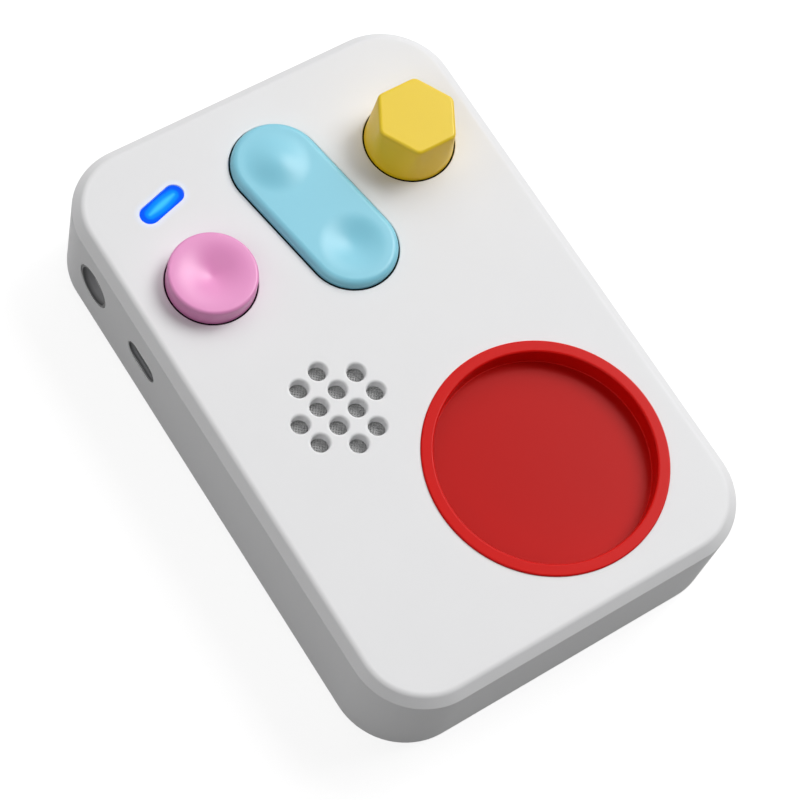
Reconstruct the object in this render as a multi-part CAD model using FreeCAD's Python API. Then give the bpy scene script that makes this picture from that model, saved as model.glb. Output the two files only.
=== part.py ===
"""Audio story player: a palm-sized case with a play button, a track rocker, a volume knob,
a status light, a speaker grille and a round dish that holds a story disc.

Millimetres.  X runs across the case, Y along it towards the knob end, Z out of the face.
The origin is on the table, under the middle of the case.
"""
import FreeCAD, Part
import math
import os

V = FreeCAD.Vector
UP = V(0, 0, 1)
ORIGIN = V(0, 0, 0)

# ------------------------------------------------------------------ case
case_width = 85.0
case_length = 128.0
case_height = 24.0            # lower edge of the case to its face
corner_radius = 14.5
side_wall = 2.2
face_thickness = 2.2
edge_chamfer_in = 2.05        # how far the chamfer round the face runs inwards
edge_chamfer_down = 1.95      # and how far down the side
edge_blend_radius = 1.9       # soft round between the face and that chamfer
lower_edge_chamfer = 0.5

# ------------------------------------------------------------------ back cover, feet and screws
cover_thickness = 2.0
cover_seat_width = 1.0        # width of the step in the case wall that the cover rests on
cover_gap = 0.15
lip_thickness = 1.0           # upright lip of the cover that centres it inside the case walls
lip_height = 1.6
foot_radius = 4.5
foot_stand = 0.8              # how far a foot stands below the case
foot_recess = 0.6
foot_chamfer = 0.4
foot_side_inset = 13.0        # foot centre to the side of the case
foot_end_inset = 24.0
post_radius = 3.2
post_inset = 9.0              # screw post centre to the two sides of its corner
gusset_thickness = 1.2        # webs that join a screw post to the walls of its corner
gusset_lip_gap = 2.0          # foot of a web to the top of the cover's lip
screw_radius = 1.25
screw_head_radius = 2.4
screw_head_height = 1.2
screw_head_sunk = 0.1         # head below the surface of the cover
screw_length = 12.0
screw_bite_gap = 0.02         # shank to the wall of its pilot hole
screw_pass_gap = 0.25         # shank to the hole it passes through
screw_seat_gap = 0.03         # countersunk head to its seat
pilot_over_length = 1.0       # pilot hole beyond the tip of its screw
cross_length = 3.1
cross_width = 0.75
cross_depth = 0.8

# ------------------------------------------------------------------ disc dish
dish_x = 11.7
dish_y = -32.2
dish_inner_radius = 21.75
dish_rim_width = 2.5
dish_wall = 1.2
dish_floor = 1.4
dish_depth = 4.2              # top of the rim to the floor
dish_rim_proud = 0.4
dish_rim_seat = 1.0           # depth of the step in the face that the rim drops into
dish_rim_chamfer = 0.3
dish_floor_chamfer = 0.5
dish_gap = 0.08

# ------------------------------------------------------------------ disc reader under the dish
antenna_board_thickness = 0.8
antenna_board_inset = 1.0     # edge of the reader board to the wall of the cup
antenna_turns = 4
antenna_pitch = 1.5
antenna_track_width = 0.7
antenna_track_height = 0.15
antenna_track_inset = 2.0     # edge of the reader board to the outer track

# ------------------------------------------------------------------ speaker and grille
speaker_x = -17.9
speaker_y = -4.35
grille_pitch = 5.2
grille_rows = 4
grille_turn = 15.0            # degrees
grille_hole_radius = 1.8
grille_mouth_chamfer = 0.45
cloth_thickness = 0.3
cloth_gap = 0.5               # edge of the cloth to the gasket round it
gasket_thickness = 1.3
speaker_radius = 13.9
speaker_flange_width = 1.8
speaker_flange_thickness = 0.8
basket_depth = 4.2
basket_wall = 0.6
basket_floor_margin = 1.0     # basket floor beyond the magnet
basket_window_width = 5.0
basket_window_height = 1.8
basket_window_lift = 0.4      # window above the basket floor
magnet_radius = 8.0
magnet_height = 3.5
magnet_chamfer = 0.6
cone_thickness = 0.35
cone_gap = 0.1                # edge of the surround to the basket
cone_depth = 2.6              # flange to the foot of the cone
cone_roll_width = 2.6
cone_roll_drop = 0.45         # edge of the surround below the flange
cone_roll_height = 0.5        # crest of the surround above its edges
cone_cap_radius = 3.4
cone_cap_height = 1.2
speaker_rib_wall = 1.0
speaker_rib_height = 3.0
speaker_gap = 0.25

# ------------------------------------------------------------------ play button
play_x = -25.5
play_y = 29.7
play_radius = 8.85
play_draft = 0.2              # how much narrower the cap is at its top
play_proud = 4.1
play_edge_round = 0.6
play_rim_land = 0.55          # flat ring between the rounded edge and the hollow
play_dish_depth = 1.5
play_wall = 1.5
play_flange_width = 1.4
play_flange_thickness = 1.0
play_stem_radius = 2.5
play_gap = 0.4                # round the cap where it passes the face
flange_gap = 0.15             # retaining flange to the underside of the face

# ------------------------------------------------------------------ track rocker
rocker_x = 0.75
rocker_y = 34.3
rocker_turn = 9.7             # degrees its long axis leans from +Y
rocker_half_pitch = 11.1      # middle of the rocker to the centre of each round end
rocker_radius = 9.2
rocker_proud = 1.6
rocker_edge_round = 1.2
rocker_skirt = 0.6            # how far the cap reaches below the underside of the face
rocker_wall = 1.6
rocker_gap = 0.45
rocker_mark_land = 1.4        # flat ring between the rounded edge and each finger mark
rocker_dip_depth = 1.25
rocker_dome_height = 1.15
rocker_stem_radius = 1.8
mark_step = 0.05              # step at the rim of each finger mark
pivot_drop = 2.6              # pivot pin centre below the underside of the face
pivot_radius = 1.0
pivot_running_gap = 0.05
pivot_seat_gap = 0.02
pivot_lug_radius = 2.3
pivot_lug_half = 3.0
ear_thickness = 2.2
ear_width = 5.0
ear_below_pin = 1.2           # foot of an ear below the pin hole
ear_gap = 0.3                 # ear to the edge of the rocker's opening

# ------------------------------------------------------------------ volume knob and encoder
knob_x = 25.5
knob_y = 38.0
knob_base_radius = 9.05
knob_taper = 0.35             # sharp corners of the six-sided top inside the base circle
knob_corner_round = 1.6
knob_corner_half_angle = math.radians(10.0)   # share of the base circle that flows into a corner
knob_edge_round = 0.7
knob_proud = 10.0
knob_sunk = 1.4               # depth of its base below the face
knob_gap = 0.35
knob_wall = 2.0
knob_boss_radius = 5.0
knob_roof = 2.6
shaft_radius = 3.0
shaft_flat = 0.9              # depth of the flat on the shaft
shaft_engagement = 7.0        # length of shaft inside the knob
shaft_running_gap = 0.05
shaft_seat_gap = 0.02
bush_radius = 4.0
bush_knob_gap = 0.6
encoder_width = 12.0
encoder_height = 6.0
encoder_corner_chamfer = 0.8
encoder_floor = 1.2
shaft_end_gap = 0.3

# ------------------------------------------------------------------ status light
light_x = -25.3
light_y = 48.6
light_turn = 15.5             # degrees from +X
light_half_pitch = 3.3
light_radius = 2.0
light_sunk = 0.15
light_gap = 0.05
light_edge_chamfer = 0.25
light_flange_width = 0.9
light_flange_thickness = 0.9
light_leg_half_pitch = 1.0
light_leg_radius = 0.9
led_width = 3.2
led_depth = 1.6
led_height = 0.9
led_gap = 0.3

# ------------------------------------------------------------------ main board
board_thickness = 1.6
board_wall_gap = 0.3
board_post_clearance = 0.8
board_low_y = 13.5            # board edge nearest the speaker
board_light_margin = 2.9      # board edge beyond the status light
board_corner_radius = 2.0
board_post_radius = 2.6
board_post_inset_x = 6.0      # post centres from the board's sides
board_post_inset_y = 3.7
board_post_light_shift = 18.5  # the post beside the light sits this much further in
board_post_knob_shift = 21.5  # and so does the one beyond the knob
board_screw_length = 6.0
board_screw_radius = 1.0
board_screw_head_radius = 1.9
board_screw_head_height = 1.2
board_screw_head_chamfer = 0.5
chip_size = 9.0
chip_height = 1.2
chip_chamfer = 0.25
chip_x = 14.0
chip_y = 21.0

# ------------------------------------------------------------------ sockets in the left side
port_height = 12.3            # socket centres above the lower edge of the case
port_above_board = 2.6
port_flush_gap = 0.15         # sleeve face below the surface of the side
port_flange_width = 0.5
port_flange_thickness = 1.0
port_fit_gap = 0.05
jack_end_inset = 19.8         # jack's axis to the end of the case
jack_hole_radius = 4.75
jack_sleeve_wall = 0.55
jack_bore_radius = 1.8
jack_nose_radius = 3.0
jack_body_width = 6.0
jack_body_length = 10.5
usb_y = 25.8
usb_shell_length = 8.94
usb_shell_height = 3.26
usb_shell_wall = 0.3
usb_shell_depth = 7.3
usb_shell_back = 1.0          # thickness of the moulding that closes the shell's back
usb_shell_sunk = 0.9          # shell mouth below the surface of the side
usb_leg_length = 1.6
usb_leg_thickness = 0.8
usb_leg_end_inset = 1.8       # leg to the end of the shell's long side
usb_leg_back_inset = 1.2      # leg to the back of the shell
usb_hole_end_margin = 0.255   # slot in the case beyond the shell, at each end
usb_hole_side_margin = 0.97   # and on each long side
usb_tongue_side_gap = 0.82    # tongue to the inside of the shell
usb_tongue_height = 0.7
usb_tongue_reach = 4.5

# ------------------------------------------------------------------ silicone domes
dome_radius = 5.0
dome_base_height = 0.8
dome_height = 4.2
dome_top_radius = 2.6
dome_wall = 0.7
dome_ring_width = 1.6
dome_shoulder_width = 1.0     # level ring round the foot of the sloping wall
dome_contact_height = 0.5     # thickening under the pressing top
dome_stem_gap = 0.1

# ------------------------------------------------------------------ battery
battery_width = 34.0
battery_length = 50.0
battery_height = 8.0
battery_round = 1.8
battery_post_gap = 3.8        # battery to the screw post on its right
battery_end_gap = 4.8         # battery to the end wall of the case
pad_thickness = 0.6
pad_inset = 3.0
tray_gap = 0.4
tray_wall = 1.2
tray_height = 3.6
tray_corner_share = 0.25      # share of each side that a corner of the tray reaches along
socket_width = 7.6
socket_depth = 5.8
socket_height = 4.5
socket_wall = 0.8
socket_back = 1.4
socket_x = -8.0
socket_y = 18.6

# ------------------------------------------------------------------ worked out from the above
cutter_over_run = 1.0         # how far a cutter runs past what it cuts
case_bottom = foot_stand
face_z = case_bottom + case_height
under_face = face_z - face_thickness
cover_top = case_bottom + cover_thickness
port_z = case_bottom + port_height
board_top = port_z - port_above_board
board_bottom = board_top - board_thickness
dome_top = board_top + dome_height
dish_rim_top = face_z + dish_rim_proud
dish_floor_z = dish_rim_top - dish_depth
dish_underside = dish_floor_z - dish_floor
cup_radius = dish_inner_radius + dish_wall
dish_rim_radius = dish_inner_radius + dish_rim_width
antenna_board_radius = cup_radius - antenna_board_inset
left_side = -case_width / 2.0
left_inside = left_side + side_wall
port_back = left_inside + port_flange_thickness
jack_y = case_length / 2.0 - jack_end_inset
pivot_z = under_face - pivot_drop
flange_top = under_face - gasket_thickness
speaker_throat = speaker_radius - speaker_flange_width
rocker_mark_radius = rocker_radius - rocker_edge_round - rocker_mark_land
knob_hex_radius = knob_base_radius - knob_taper
usb_hole_length = usb_shell_length + 2 * usb_hole_end_margin
usb_hole_height = usb_shell_height + 2 * usb_hole_side_margin
battery_x = case_width / 2.0 - post_inset - post_radius - battery_post_gap - battery_width / 2.0
battery_y = side_wall + battery_end_gap + battery_length / 2.0 - case_length / 2.0
battery_base = cover_top + pad_thickness


# ------------------------------------------------------------------ drawing helpers
def rounded_rectangle(width, length, radius, z, x=0.0, y=0.0):
    """Closed outline of a rectangle with round corners, flat at height z."""
    half_w = width / 2.0
    half_l = length / 2.0
    diagonal = radius * math.sqrt(0.5)
    corners = [(1, 1), (-1, 1), (-1, -1), (1, -1)]
    arcs = []
    for sx, sy in corners:
        cx = x + sx * (half_w - radius)
        cy = y + sy * (half_l - radius)
        ends = [V(cx + sx * radius, cy, z), V(cx, cy + sy * radius, z)]
        if sx * sy < 0:
            ends.reverse()
        middle = V(cx + sx * diagonal, cy + sy * diagonal, z)
        arcs.append((ends[0], middle, ends[1]))
    edges = []
    for index, (start, middle, end) in enumerate(arcs):
        edges.append(Part.Arc(start, middle, end).toShape())
        following = arcs[(index + 1) % len(arcs)][0]
        edges.append(Part.LineSegment(end, following).toShape())
    return Part.Wire(edges)


def stadium(half_pitch, radius, z):
    """Closed outline of two half circles joined by straights, long along X, about the Z axis."""
    right = Part.Arc(V(half_pitch, -radius, z), V(half_pitch + radius, 0, z), V(half_pitch, radius, z))
    left = Part.Arc(V(-half_pitch, radius, z), V(-half_pitch - radius, 0, z), V(-half_pitch, -radius, z))
    upper = Part.LineSegment(V(half_pitch, radius, z), V(-half_pitch, radius, z))
    lower = Part.LineSegment(V(-half_pitch, -radius, z), V(half_pitch, -radius, z))
    return Part.Wire([right.toShape(), upper.toShape(), left.toShape(), lower.toShape()])


def prism(outline, height):
    return Part.Face(outline).extrude(UP * height)


def cylinder(radius, bottom, top, x=0.0, y=0.0):
    return Part.makeCylinder(radius, top - bottom, V(x, y, bottom), UP)


def tube(outer, inner, bottom, top, x=0.0, y=0.0):
    return cylinder(outer, bottom, top, x, y).cut(cylinder(inner, bottom, top, x, y))


def box(width, length, height, x, y, z):
    """Box centred on x and y, standing on height z."""
    return Part.makeBox(width, length, height, V(x - width / 2.0, y - length / 2.0, z))


def turned(points, x=0.0, y=0.0):
    """Solid turned about the vertical axis at x, y from (radius, height) points."""
    corners = [V(r, 0, z) for r, z in points]
    solid = Part.Face(Part.makePolygon(corners + corners[:1])).revolve(ORIGIN, UP, 360)
    solid.translate(V(x, y, 0))
    return solid


def along_x(solid, y, z):
    """Lay a solid that stands on the Z axis along X: its Z becomes X, its X becomes Y."""
    laid = solid.copy()
    laid.rotate(ORIGIN, V(1, 1, 1), 120)
    laid.translate(V(0, y, z))
    return laid


def placed(solid, x, y, turn=0.0):
    moved = solid.copy()
    moved.rotate(ORIGIN, UP, turn)
    moved.translate(V(x, y, 0))
    return moved


def fuse_all(solids):
    return solids[0].multiFuse(solids[1:]).removeSplitter()


def edges_where(solid, test):
    return [edge for edge in solid.Edges if test(edge)]


def flat_at(edge, z):
    box_of = edge.BoundBox
    return abs(box_of.ZMin - z) < 1e-4 and abs(box_of.ZMax - z) < 1e-4


def lines(corners):
    """Straight edges from each corner to the next."""
    return [Part.LineSegment(start, end).toShape() for start, end in zip(corners, corners[1:])]


def revolved(edges):
    """Solid turned about the Z axis from edges that close a half section."""
    outline = Part.Wire(Part.sortEdges(edges)[0])
    return Part.Face(outline).revolve(ORIGIN, UP, 360)


def wave_curve(radius, centre_z, rim_z, steps=8):
    """Edge from the axis out to a radius, level at both ends, shaped like half a cosine wave."""
    points = []
    for step in range(steps + 1):
        share = (1.0 + math.cos(math.pi * step / steps)) / 2.0
        points.append(V(radius * step / steps, 0, rim_z + (centre_z - rim_z) * share))
    curve = Part.BSplineCurve()
    curve.interpolate(points)
    return curve.toShape()


# ------------------------------------------------------------------ shared positions
def mirrored_places(x, y):
    return [(sx * x, sy * y) for sx in (-1, 1) for sy in (-1, 1)]


def post_places():
    return mirrored_places(case_width / 2.0 - post_inset, case_length / 2.0 - post_inset)


def foot_places():
    return mirrored_places(case_width / 2.0 - foot_side_inset, case_length / 2.0 - foot_end_inset)


def board_limits():
    """Low x, high x, low y and high y of the main board."""
    high_x = case_width / 2.0 - side_wall - port_flange_thickness - board_wall_gap
    return -high_x, high_x, board_low_y, light_y + board_light_margin


def board_post_places():
    low_x, high_x, low_y, high_y = board_limits()
    left = low_x + board_post_inset_x
    right = high_x - board_post_inset_x
    low = low_y + board_post_inset_y
    high = high_y - board_post_inset_y
    upper_left = left + board_post_light_shift
    upper_right = right - board_post_knob_shift
    return [(left, low), (right, low), (upper_left, high), (upper_right, high)]


def grille_places():
    """Hole centres: a square grid without its four corners, turned about the speaker."""
    turn = math.radians(grille_turn)
    last = grille_rows - 1
    places = []
    for row in range(grille_rows):
        for column in range(grille_rows):
            if row in (0, last) and column in (0, last):
                continue
            u = (column - last / 2.0) * grille_pitch
            v = (row - last / 2.0) * grille_pitch
            x = speaker_x + u * math.cos(turn) - v * math.sin(turn)
            y = speaker_y + u * math.sin(turn) + v * math.cos(turn)
            places.append((x, y))
    return places


def rocker_end(side):
    """Centre of the rocker's round end: side 1 is its upper end, -1 its lower one."""
    turn = math.radians(rocker_turn)
    x = rocker_x - side * rocker_half_pitch * math.sin(turn)
    y = rocker_y + side * rocker_half_pitch * math.cos(turn)
    return x, y


# ------------------------------------------------------------------ case
def case_outline(inset, z):
    """Outline of the case in plan, set in from its sides by a distance."""
    return rounded_rectangle(case_width - 2 * inset, case_length - 2 * inset, corner_radius - inset, z)


def case_block():
    """Outer form of the case: upright sides, a chamfer that flows softly into the face."""
    block = prism(case_outline(0, case_bottom), case_height)
    lower = edges_where(block, lambda edge: flat_at(edge, case_bottom))
    block = block.makeChamfer(lower_edge_chamfer, lower)
    rim = edges_where(block, lambda edge: flat_at(edge, face_z))
    block = block.makeChamfer(edge_chamfer_down, edge_chamfer_in, rim)
    soft = edges_where(block, lambda edge: flat_at(edge, face_z))
    return block.makeFillet(edge_blend_radius, soft)


def case_cavity():
    room = prism(case_outline(side_wall, case_bottom), under_face - case_bottom)
    seat = prism(case_outline(side_wall - cover_seat_width, case_bottom), cover_thickness)
    return room.fuse(seat)


def face_openings():
    """Cutters for the controls, the light and the dish in the face."""
    bottom = under_face - cutter_over_run
    top = face_z + cutter_over_run
    rocker_hole = prism(stadium(rocker_half_pitch, rocker_radius + rocker_gap, bottom), top - bottom)
    light_hole = prism(stadium(light_half_pitch, light_radius + light_gap, bottom), top - bottom)
    return [
        cylinder(play_radius + play_gap, bottom, top, play_x, play_y),
        cylinder(knob_base_radius + knob_gap, bottom, top, knob_x, knob_y),
        cylinder(cup_radius + dish_gap, bottom, top, dish_x, dish_y),
        cylinder(dish_rim_radius + dish_gap, face_z - dish_rim_seat, top, dish_x, dish_y),
        placed(rocker_hole, rocker_x, rocker_y, rocker_turn + 90),
        placed(light_hole, light_x, light_y, light_turn),
    ]


def grille_cutter(x, y):
    """One sound hole with a chamfered mouth."""
    mouth = grille_hole_radius + grille_mouth_chamfer
    bottom = under_face - cutter_over_run
    top = face_z + cutter_over_run
    profile = [
        (0, bottom), (grille_hole_radius, bottom), (grille_hole_radius, face_z - grille_mouth_chamfer),
        (mouth, face_z), (mouth, top), (0, top),
    ]
    return turned(profile, x, y)


def side_openings():
    """Cutters for the round headphone hole and the slot of the charging socket."""
    start = left_side - cutter_over_run
    end = left_inside + cutter_over_run
    round_hole = cylinder(jack_hole_radius, start, end)
    return [along_x(round_hole, jack_y, port_z), usb_bar(usb_hole_length, usb_hole_height, start, end)]


def gussets():
    """Webs from each screw post to the side wall and the end wall of its corner."""
    bottom = cover_top + lip_height + gusset_lip_gap
    height = under_face - bottom
    reach = post_inset - side_wall / 2.0
    webs = []
    for x, y in post_places():
        side_x = x + math.copysign(reach / 2.0, x)
        end_y = y + math.copysign(reach / 2.0, y)
        webs.append(box(reach, gusset_thickness, height, side_x, y, bottom))
        webs.append(box(gusset_thickness, reach, height, x, end_y, bottom))
    return webs


def rocker_ears():
    """Two lugs under the face that hold the ends of the rocker's pivot pin."""
    bottom = pivot_z - pivot_radius - ear_below_pin
    offset = rocker_radius + rocker_gap + ear_gap + ear_thickness / 2.0
    ears = []
    for side in (-1, 1):
        ear = box(ear_thickness, ear_width, under_face - bottom, side * offset, 0, bottom)
        ears.append(placed(ear, rocker_x, rocker_y, rocker_turn))
    return ears


def inner_features():
    """Screw posts for the cover and the board, their webs, the speaker's rib and the rocker's ears."""
    solids = gussets() + rocker_ears()
    for x, y in post_places():
        solids.append(cylinder(post_radius, cover_top, under_face, x, y))
    for x, y in board_post_places():
        solids.append(cylinder(board_post_radius, board_top, under_face, x, y))
    inner = speaker_radius + speaker_gap
    bottom = under_face - speaker_rib_height
    solids.append(tube(inner + speaker_rib_wall, inner, bottom, under_face, speaker_x, speaker_y))
    return solids


def pilot_holes():
    cutters = []
    for x, y in post_places():
        top = case_bottom + screw_length + pilot_over_length
        cutters.append(cylinder(screw_radius + screw_bite_gap, cover_top, top, x, y))
    for x, y in board_post_places():
        top = board_bottom + board_screw_length + pilot_over_length
        cutters.append(cylinder(board_screw_radius + screw_bite_gap, board_top, top, x, y))
    return cutters


def pivot_bar(radius, half_length):
    """Bar on the rocker's pivot axis, under the face."""
    bar = cylinder(radius, -half_length, half_length)
    bar.rotate(ORIGIN, V(0, 1, 0), 90)
    bar.translate(V(0, 0, pivot_z))
    return placed(bar, rocker_x, rocker_y, rocker_turn)


def pivot_half_length():
    return rocker_radius + rocker_gap + ear_gap + ear_thickness


def front_shell():
    """One moulding: the face and side walls with all their openings, posts, webs, rib and ears."""
    shell = case_block().cut(case_cavity())
    shell = shell.multiFuse(inner_features())
    pin_seat = pivot_bar(pivot_radius + pivot_seat_gap, pivot_half_length() + cutter_over_run)
    sound_holes = [grille_cutter(x, y) for x, y in grille_places()]
    cutters = face_openings() + side_openings() + pilot_holes() + sound_holes + [pin_seat]
    return shell.cut(cutters).removeSplitter()


def battery_tray():
    """Four angled corners that stand on the cover round the battery."""
    inner_x = battery_width + 2 * tray_gap
    inner_y = battery_length + 2 * tray_gap
    outer_x = inner_x + 2 * tray_wall
    outer_y = inner_y + 2 * tray_wall
    open_x = inner_x * (1.0 - 2 * tray_corner_share)
    open_y = inner_y * (1.0 - 2 * tray_corner_share)
    block = box(outer_x, outer_y, tray_height, battery_x, battery_y, cover_top)
    return block.cut([
        box(inner_x, inner_y, tray_height, battery_x, battery_y, cover_top),
        box(open_x, outer_y, tray_height, battery_x, battery_y, cover_top),
        box(outer_x, open_y, tray_height, battery_x, battery_y, cover_top),
    ])


def screw_passage(x, y):
    """Countersunk hole through the cover that one case screw seats in."""
    seat_z = case_bottom + screw_head_sunk
    wide = screw_head_radius + screw_seat_gap
    narrow = screw_radius + screw_seat_gap
    mouth = cylinder(wide, case_bottom, seat_z, x, y)
    seat = Part.makeCone(wide, narrow, screw_head_height, V(x, y, seat_z), UP)
    hole = cylinder(screw_radius + screw_pass_gap, seat_z, cover_top, x, y)
    return mouth.multiFuse([seat, hole])


def back_cover():
    """Flat cover let into the underside: a centring lip, a battery tray and countersunk holes."""
    margin = side_wall - cover_seat_width + cover_gap
    plate = prism(case_outline(margin, case_bottom), cover_thickness)
    lip_margin = side_wall + cover_gap
    lip = prism(case_outline(lip_margin, cover_top), lip_height)
    lip = lip.cut(prism(case_outline(lip_margin + lip_thickness, cover_top), lip_height))
    cover = plate.multiFuse([lip, battery_tray()])
    cutters = [screw_passage(x, y) for x, y in post_places()]
    for x, y in foot_places():
        cutters.append(cylinder(foot_radius + cover_gap, case_bottom, case_bottom + foot_recess, x, y))
    return cover.cut(cutters).removeSplitter()


def case_screws():
    """Four countersunk screws with cross slots, driven up from below."""
    start = case_bottom + screw_head_sunk
    screws = []
    for x, y in post_places():
        shank = cylinder(screw_radius, start, case_bottom + screw_length, x, y)
        head = Part.makeCone(screw_head_radius, screw_radius, screw_head_height, V(x, y, start), UP)
        across = box(cross_length, cross_width, cross_depth, x, y, start)
        along = box(cross_width, cross_length, cross_depth, x, y, start)
        screws.append(shank.fuse(head).cut([across, along]).removeSplitter())
    return Part.makeCompound(screws)


def rubber_feet():
    """Four round feet with a bevelled edge, glued into the cover's recesses."""
    feet = []
    for x, y in foot_places():
        foot = cylinder(foot_radius, 0, case_bottom + foot_recess, x, y)
        feet.append(foot.makeChamfer(foot_chamfer, edges_where(foot, lambda edge: flat_at(edge, 0))))
    return Part.makeCompound(feet)


# ------------------------------------------------------------------ disc dish and its reader
def disc_dish():
    """Shallow cup with a raised flat rim; a story disc lies in it."""
    seat_z = face_z - dish_rim_seat
    bevel = dish_rim_chamfer
    foot = dish_floor_chamfer
    profile = [
        (0, dish_underside), (cup_radius, dish_underside), (cup_radius, seat_z), (dish_rim_radius, seat_z),
        (dish_rim_radius, dish_rim_top - bevel), (dish_rim_radius - bevel, dish_rim_top),
        (dish_inner_radius + bevel, dish_rim_top), (dish_inner_radius, dish_rim_top - bevel),
        (dish_inner_radius, dish_floor_z + foot), (dish_inner_radius - foot, dish_floor_z), (0, dish_floor_z),
    ]
    return turned(profile, dish_x, dish_y)


def antenna_board():
    bottom = dish_underside - antenna_board_thickness
    return cylinder(antenna_board_radius, bottom, dish_underside, dish_x, dish_y)


def antenna_coil():
    """Flat spiral of copper track: half rings whose centres alternate, each a step smaller."""
    top = dish_underside - antenna_board_thickness
    bottom = top - antenna_track_height
    outer = antenna_board_radius - antenna_track_inset
    step = antenna_pitch / 2.0
    halves = []
    for index in range(2 * antenna_turns):
        side = 1 if index % 2 == 0 else -1
        radius = outer - index * step
        ring = tube(radius, radius - antenna_track_width, bottom, top)
        half = ring.common(box(2 * outer, outer, antenna_track_height, 0, side * outer / 2.0, bottom))
        half.translate(V((index % 2) * step, 0, 0))
        halves.append(half)
    return placed(fuse_all(halves), dish_x, dish_y)


# ------------------------------------------------------------------ speaker
def speaker_cloth():
    bottom = under_face - cloth_thickness
    return cylinder(speaker_throat - cloth_gap, bottom, under_face, speaker_x, speaker_y)


def speaker_gasket():
    return tube(speaker_radius, speaker_throat, flange_top, under_face, speaker_x, speaker_y)


def speaker_frame():
    """Pressed basket: flat flange, sloping side with four windows, floor over the magnet."""
    flange_bottom = flange_top - speaker_flange_thickness
    floor_z = flange_top - basket_depth
    floor_radius = magnet_radius + basket_floor_margin
    profile = [
        (0, floor_z), (floor_radius, floor_z), (speaker_throat + basket_wall, flange_bottom),
        (speaker_radius, flange_bottom), (speaker_radius, flange_top), (speaker_throat, flange_top),
        (speaker_throat, flange_bottom), (floor_radius - basket_wall, floor_z + basket_wall),
        (0, floor_z + basket_wall),
    ]
    window_z = floor_z + basket_wall + basket_window_lift
    window = box(2 * speaker_radius, basket_window_width, basket_window_height, 0, 0, window_z)
    basket = turned(profile).cut([placed(window, 0, 0, 45), placed(window, 0, 0, 135)])
    return placed(basket, speaker_x, speaker_y)


def speaker_cone():
    """Paper cone with a raised cap and a ridged surround, hung inside the basket's flange."""
    edge_z = flange_top - cone_roll_drop
    foot_z = flange_top - cone_depth
    cap_z = foot_z + cone_cap_height
    ridge_z = edge_z + cone_roll_height
    edge = speaker_throat - cone_gap
    neck = edge - cone_roll_width
    slope = cone_roll_width / 4.0
    upper = [
        (0, cap_z), (cone_cap_radius / 2.0, cap_z), (cone_cap_radius, foot_z), (neck, edge_z),
        (neck + slope, ridge_z), (edge - slope, ridge_z), (edge, edge_z),
    ]
    lower = [(radius, height - cone_thickness) for radius, height in reversed(upper)]
    return turned(upper + lower, speaker_x, speaker_y)


def speaker_magnet():
    top = flange_top - basket_depth
    bottom = top - magnet_height
    magnet = cylinder(magnet_radius, bottom, top, speaker_x, speaker_y)
    return magnet.makeChamfer(magnet_chamfer, edges_where(magnet, lambda edge: flat_at(edge, bottom)))


# ------------------------------------------------------------------ play button
def play_button():
    """Round cap with a hollowed top, a retaining flange under the face and a stem to its dome."""
    top = face_z + play_proud
    top_radius = play_radius - play_draft
    flat_radius = top_radius - play_edge_round
    hollow_radius = flat_radius - play_rim_land
    hollow_z = top - play_dish_depth
    roof_z = hollow_z - play_wall
    flange_z = under_face - flange_gap
    skirt_z = flange_z - play_flange_thickness
    flange_radius = play_radius + play_flange_width
    inner_radius = play_radius - play_wall
    stem_z = dome_top + dome_stem_gap
    bulge = play_edge_round * (1.0 - math.sqrt(0.5))
    round_start = V(flat_radius, 0, top)
    round_mid = V(top_radius - bulge, 0, top - bulge)
    round_end = V(top_radius, 0, top - play_edge_round)
    edges = [
        wave_curve(hollow_radius, hollow_z, top),
        Part.LineSegment(V(hollow_radius, 0, top), round_start).toShape(),
        Part.Arc(round_start, round_mid, round_end).toShape(),
    ]
    edges += lines([
        round_end, V(play_radius, 0, face_z), V(play_radius, 0, flange_z), V(flange_radius, 0, flange_z),
        V(flange_radius, 0, skirt_z), V(inner_radius, 0, skirt_z), V(inner_radius, 0, roof_z),
        V(play_stem_radius, 0, roof_z), V(play_stem_radius, 0, stem_z), V(0, 0, stem_z), V(0, 0, hollow_z),
    ])
    return placed(revolved(edges), play_x, play_y)


def silicone_dome(x, y):
    """Rubber dome on the board: a base ring, a thin sloping wall and a flat pressing top."""
    ring_top = board_top + dome_base_height
    inner_top = dome_top - dome_wall - dome_contact_height
    profile = [
        (0, dome_top), (dome_top_radius, dome_top), (dome_radius - dome_shoulder_width, ring_top),
        (dome_radius, ring_top), (dome_radius, board_top), (dome_radius - dome_ring_width, board_top),
        (dome_top_radius - dome_wall, inner_top), (0, inner_top),
    ]
    return turned(profile, x, y)


def play_dome():
    return silicone_dome(play_x, play_y)


# ------------------------------------------------------------------ track rocker
def rocker_mark(height, top, x):
    """Turned body of a finger mark at x: a crown for a positive height, a hollow for a negative one."""
    outward = math.copysign(1.0, height)
    rim_z = top + outward * mark_step
    centre_z = top + height
    back_z = top - outward * cutter_over_run
    edges = [wave_curve(rocker_mark_radius, centre_z, rim_z)]
    edges += lines([
        V(rocker_mark_radius, 0, rim_z), V(rocker_mark_radius, 0, back_z),
        V(0, 0, back_z), V(0, 0, centre_z),
    ])
    return placed(revolved(edges), x, 0)


def across_bar(radius, half_length):
    """Bar along Y at the height of the rocker's pivot."""
    bar = cylinder(radius, -half_length, half_length)
    bar.rotate(ORIGIN, V(1, 0, 0), 90)
    bar.translate(V(0, 0, pivot_z))
    return bar


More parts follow.
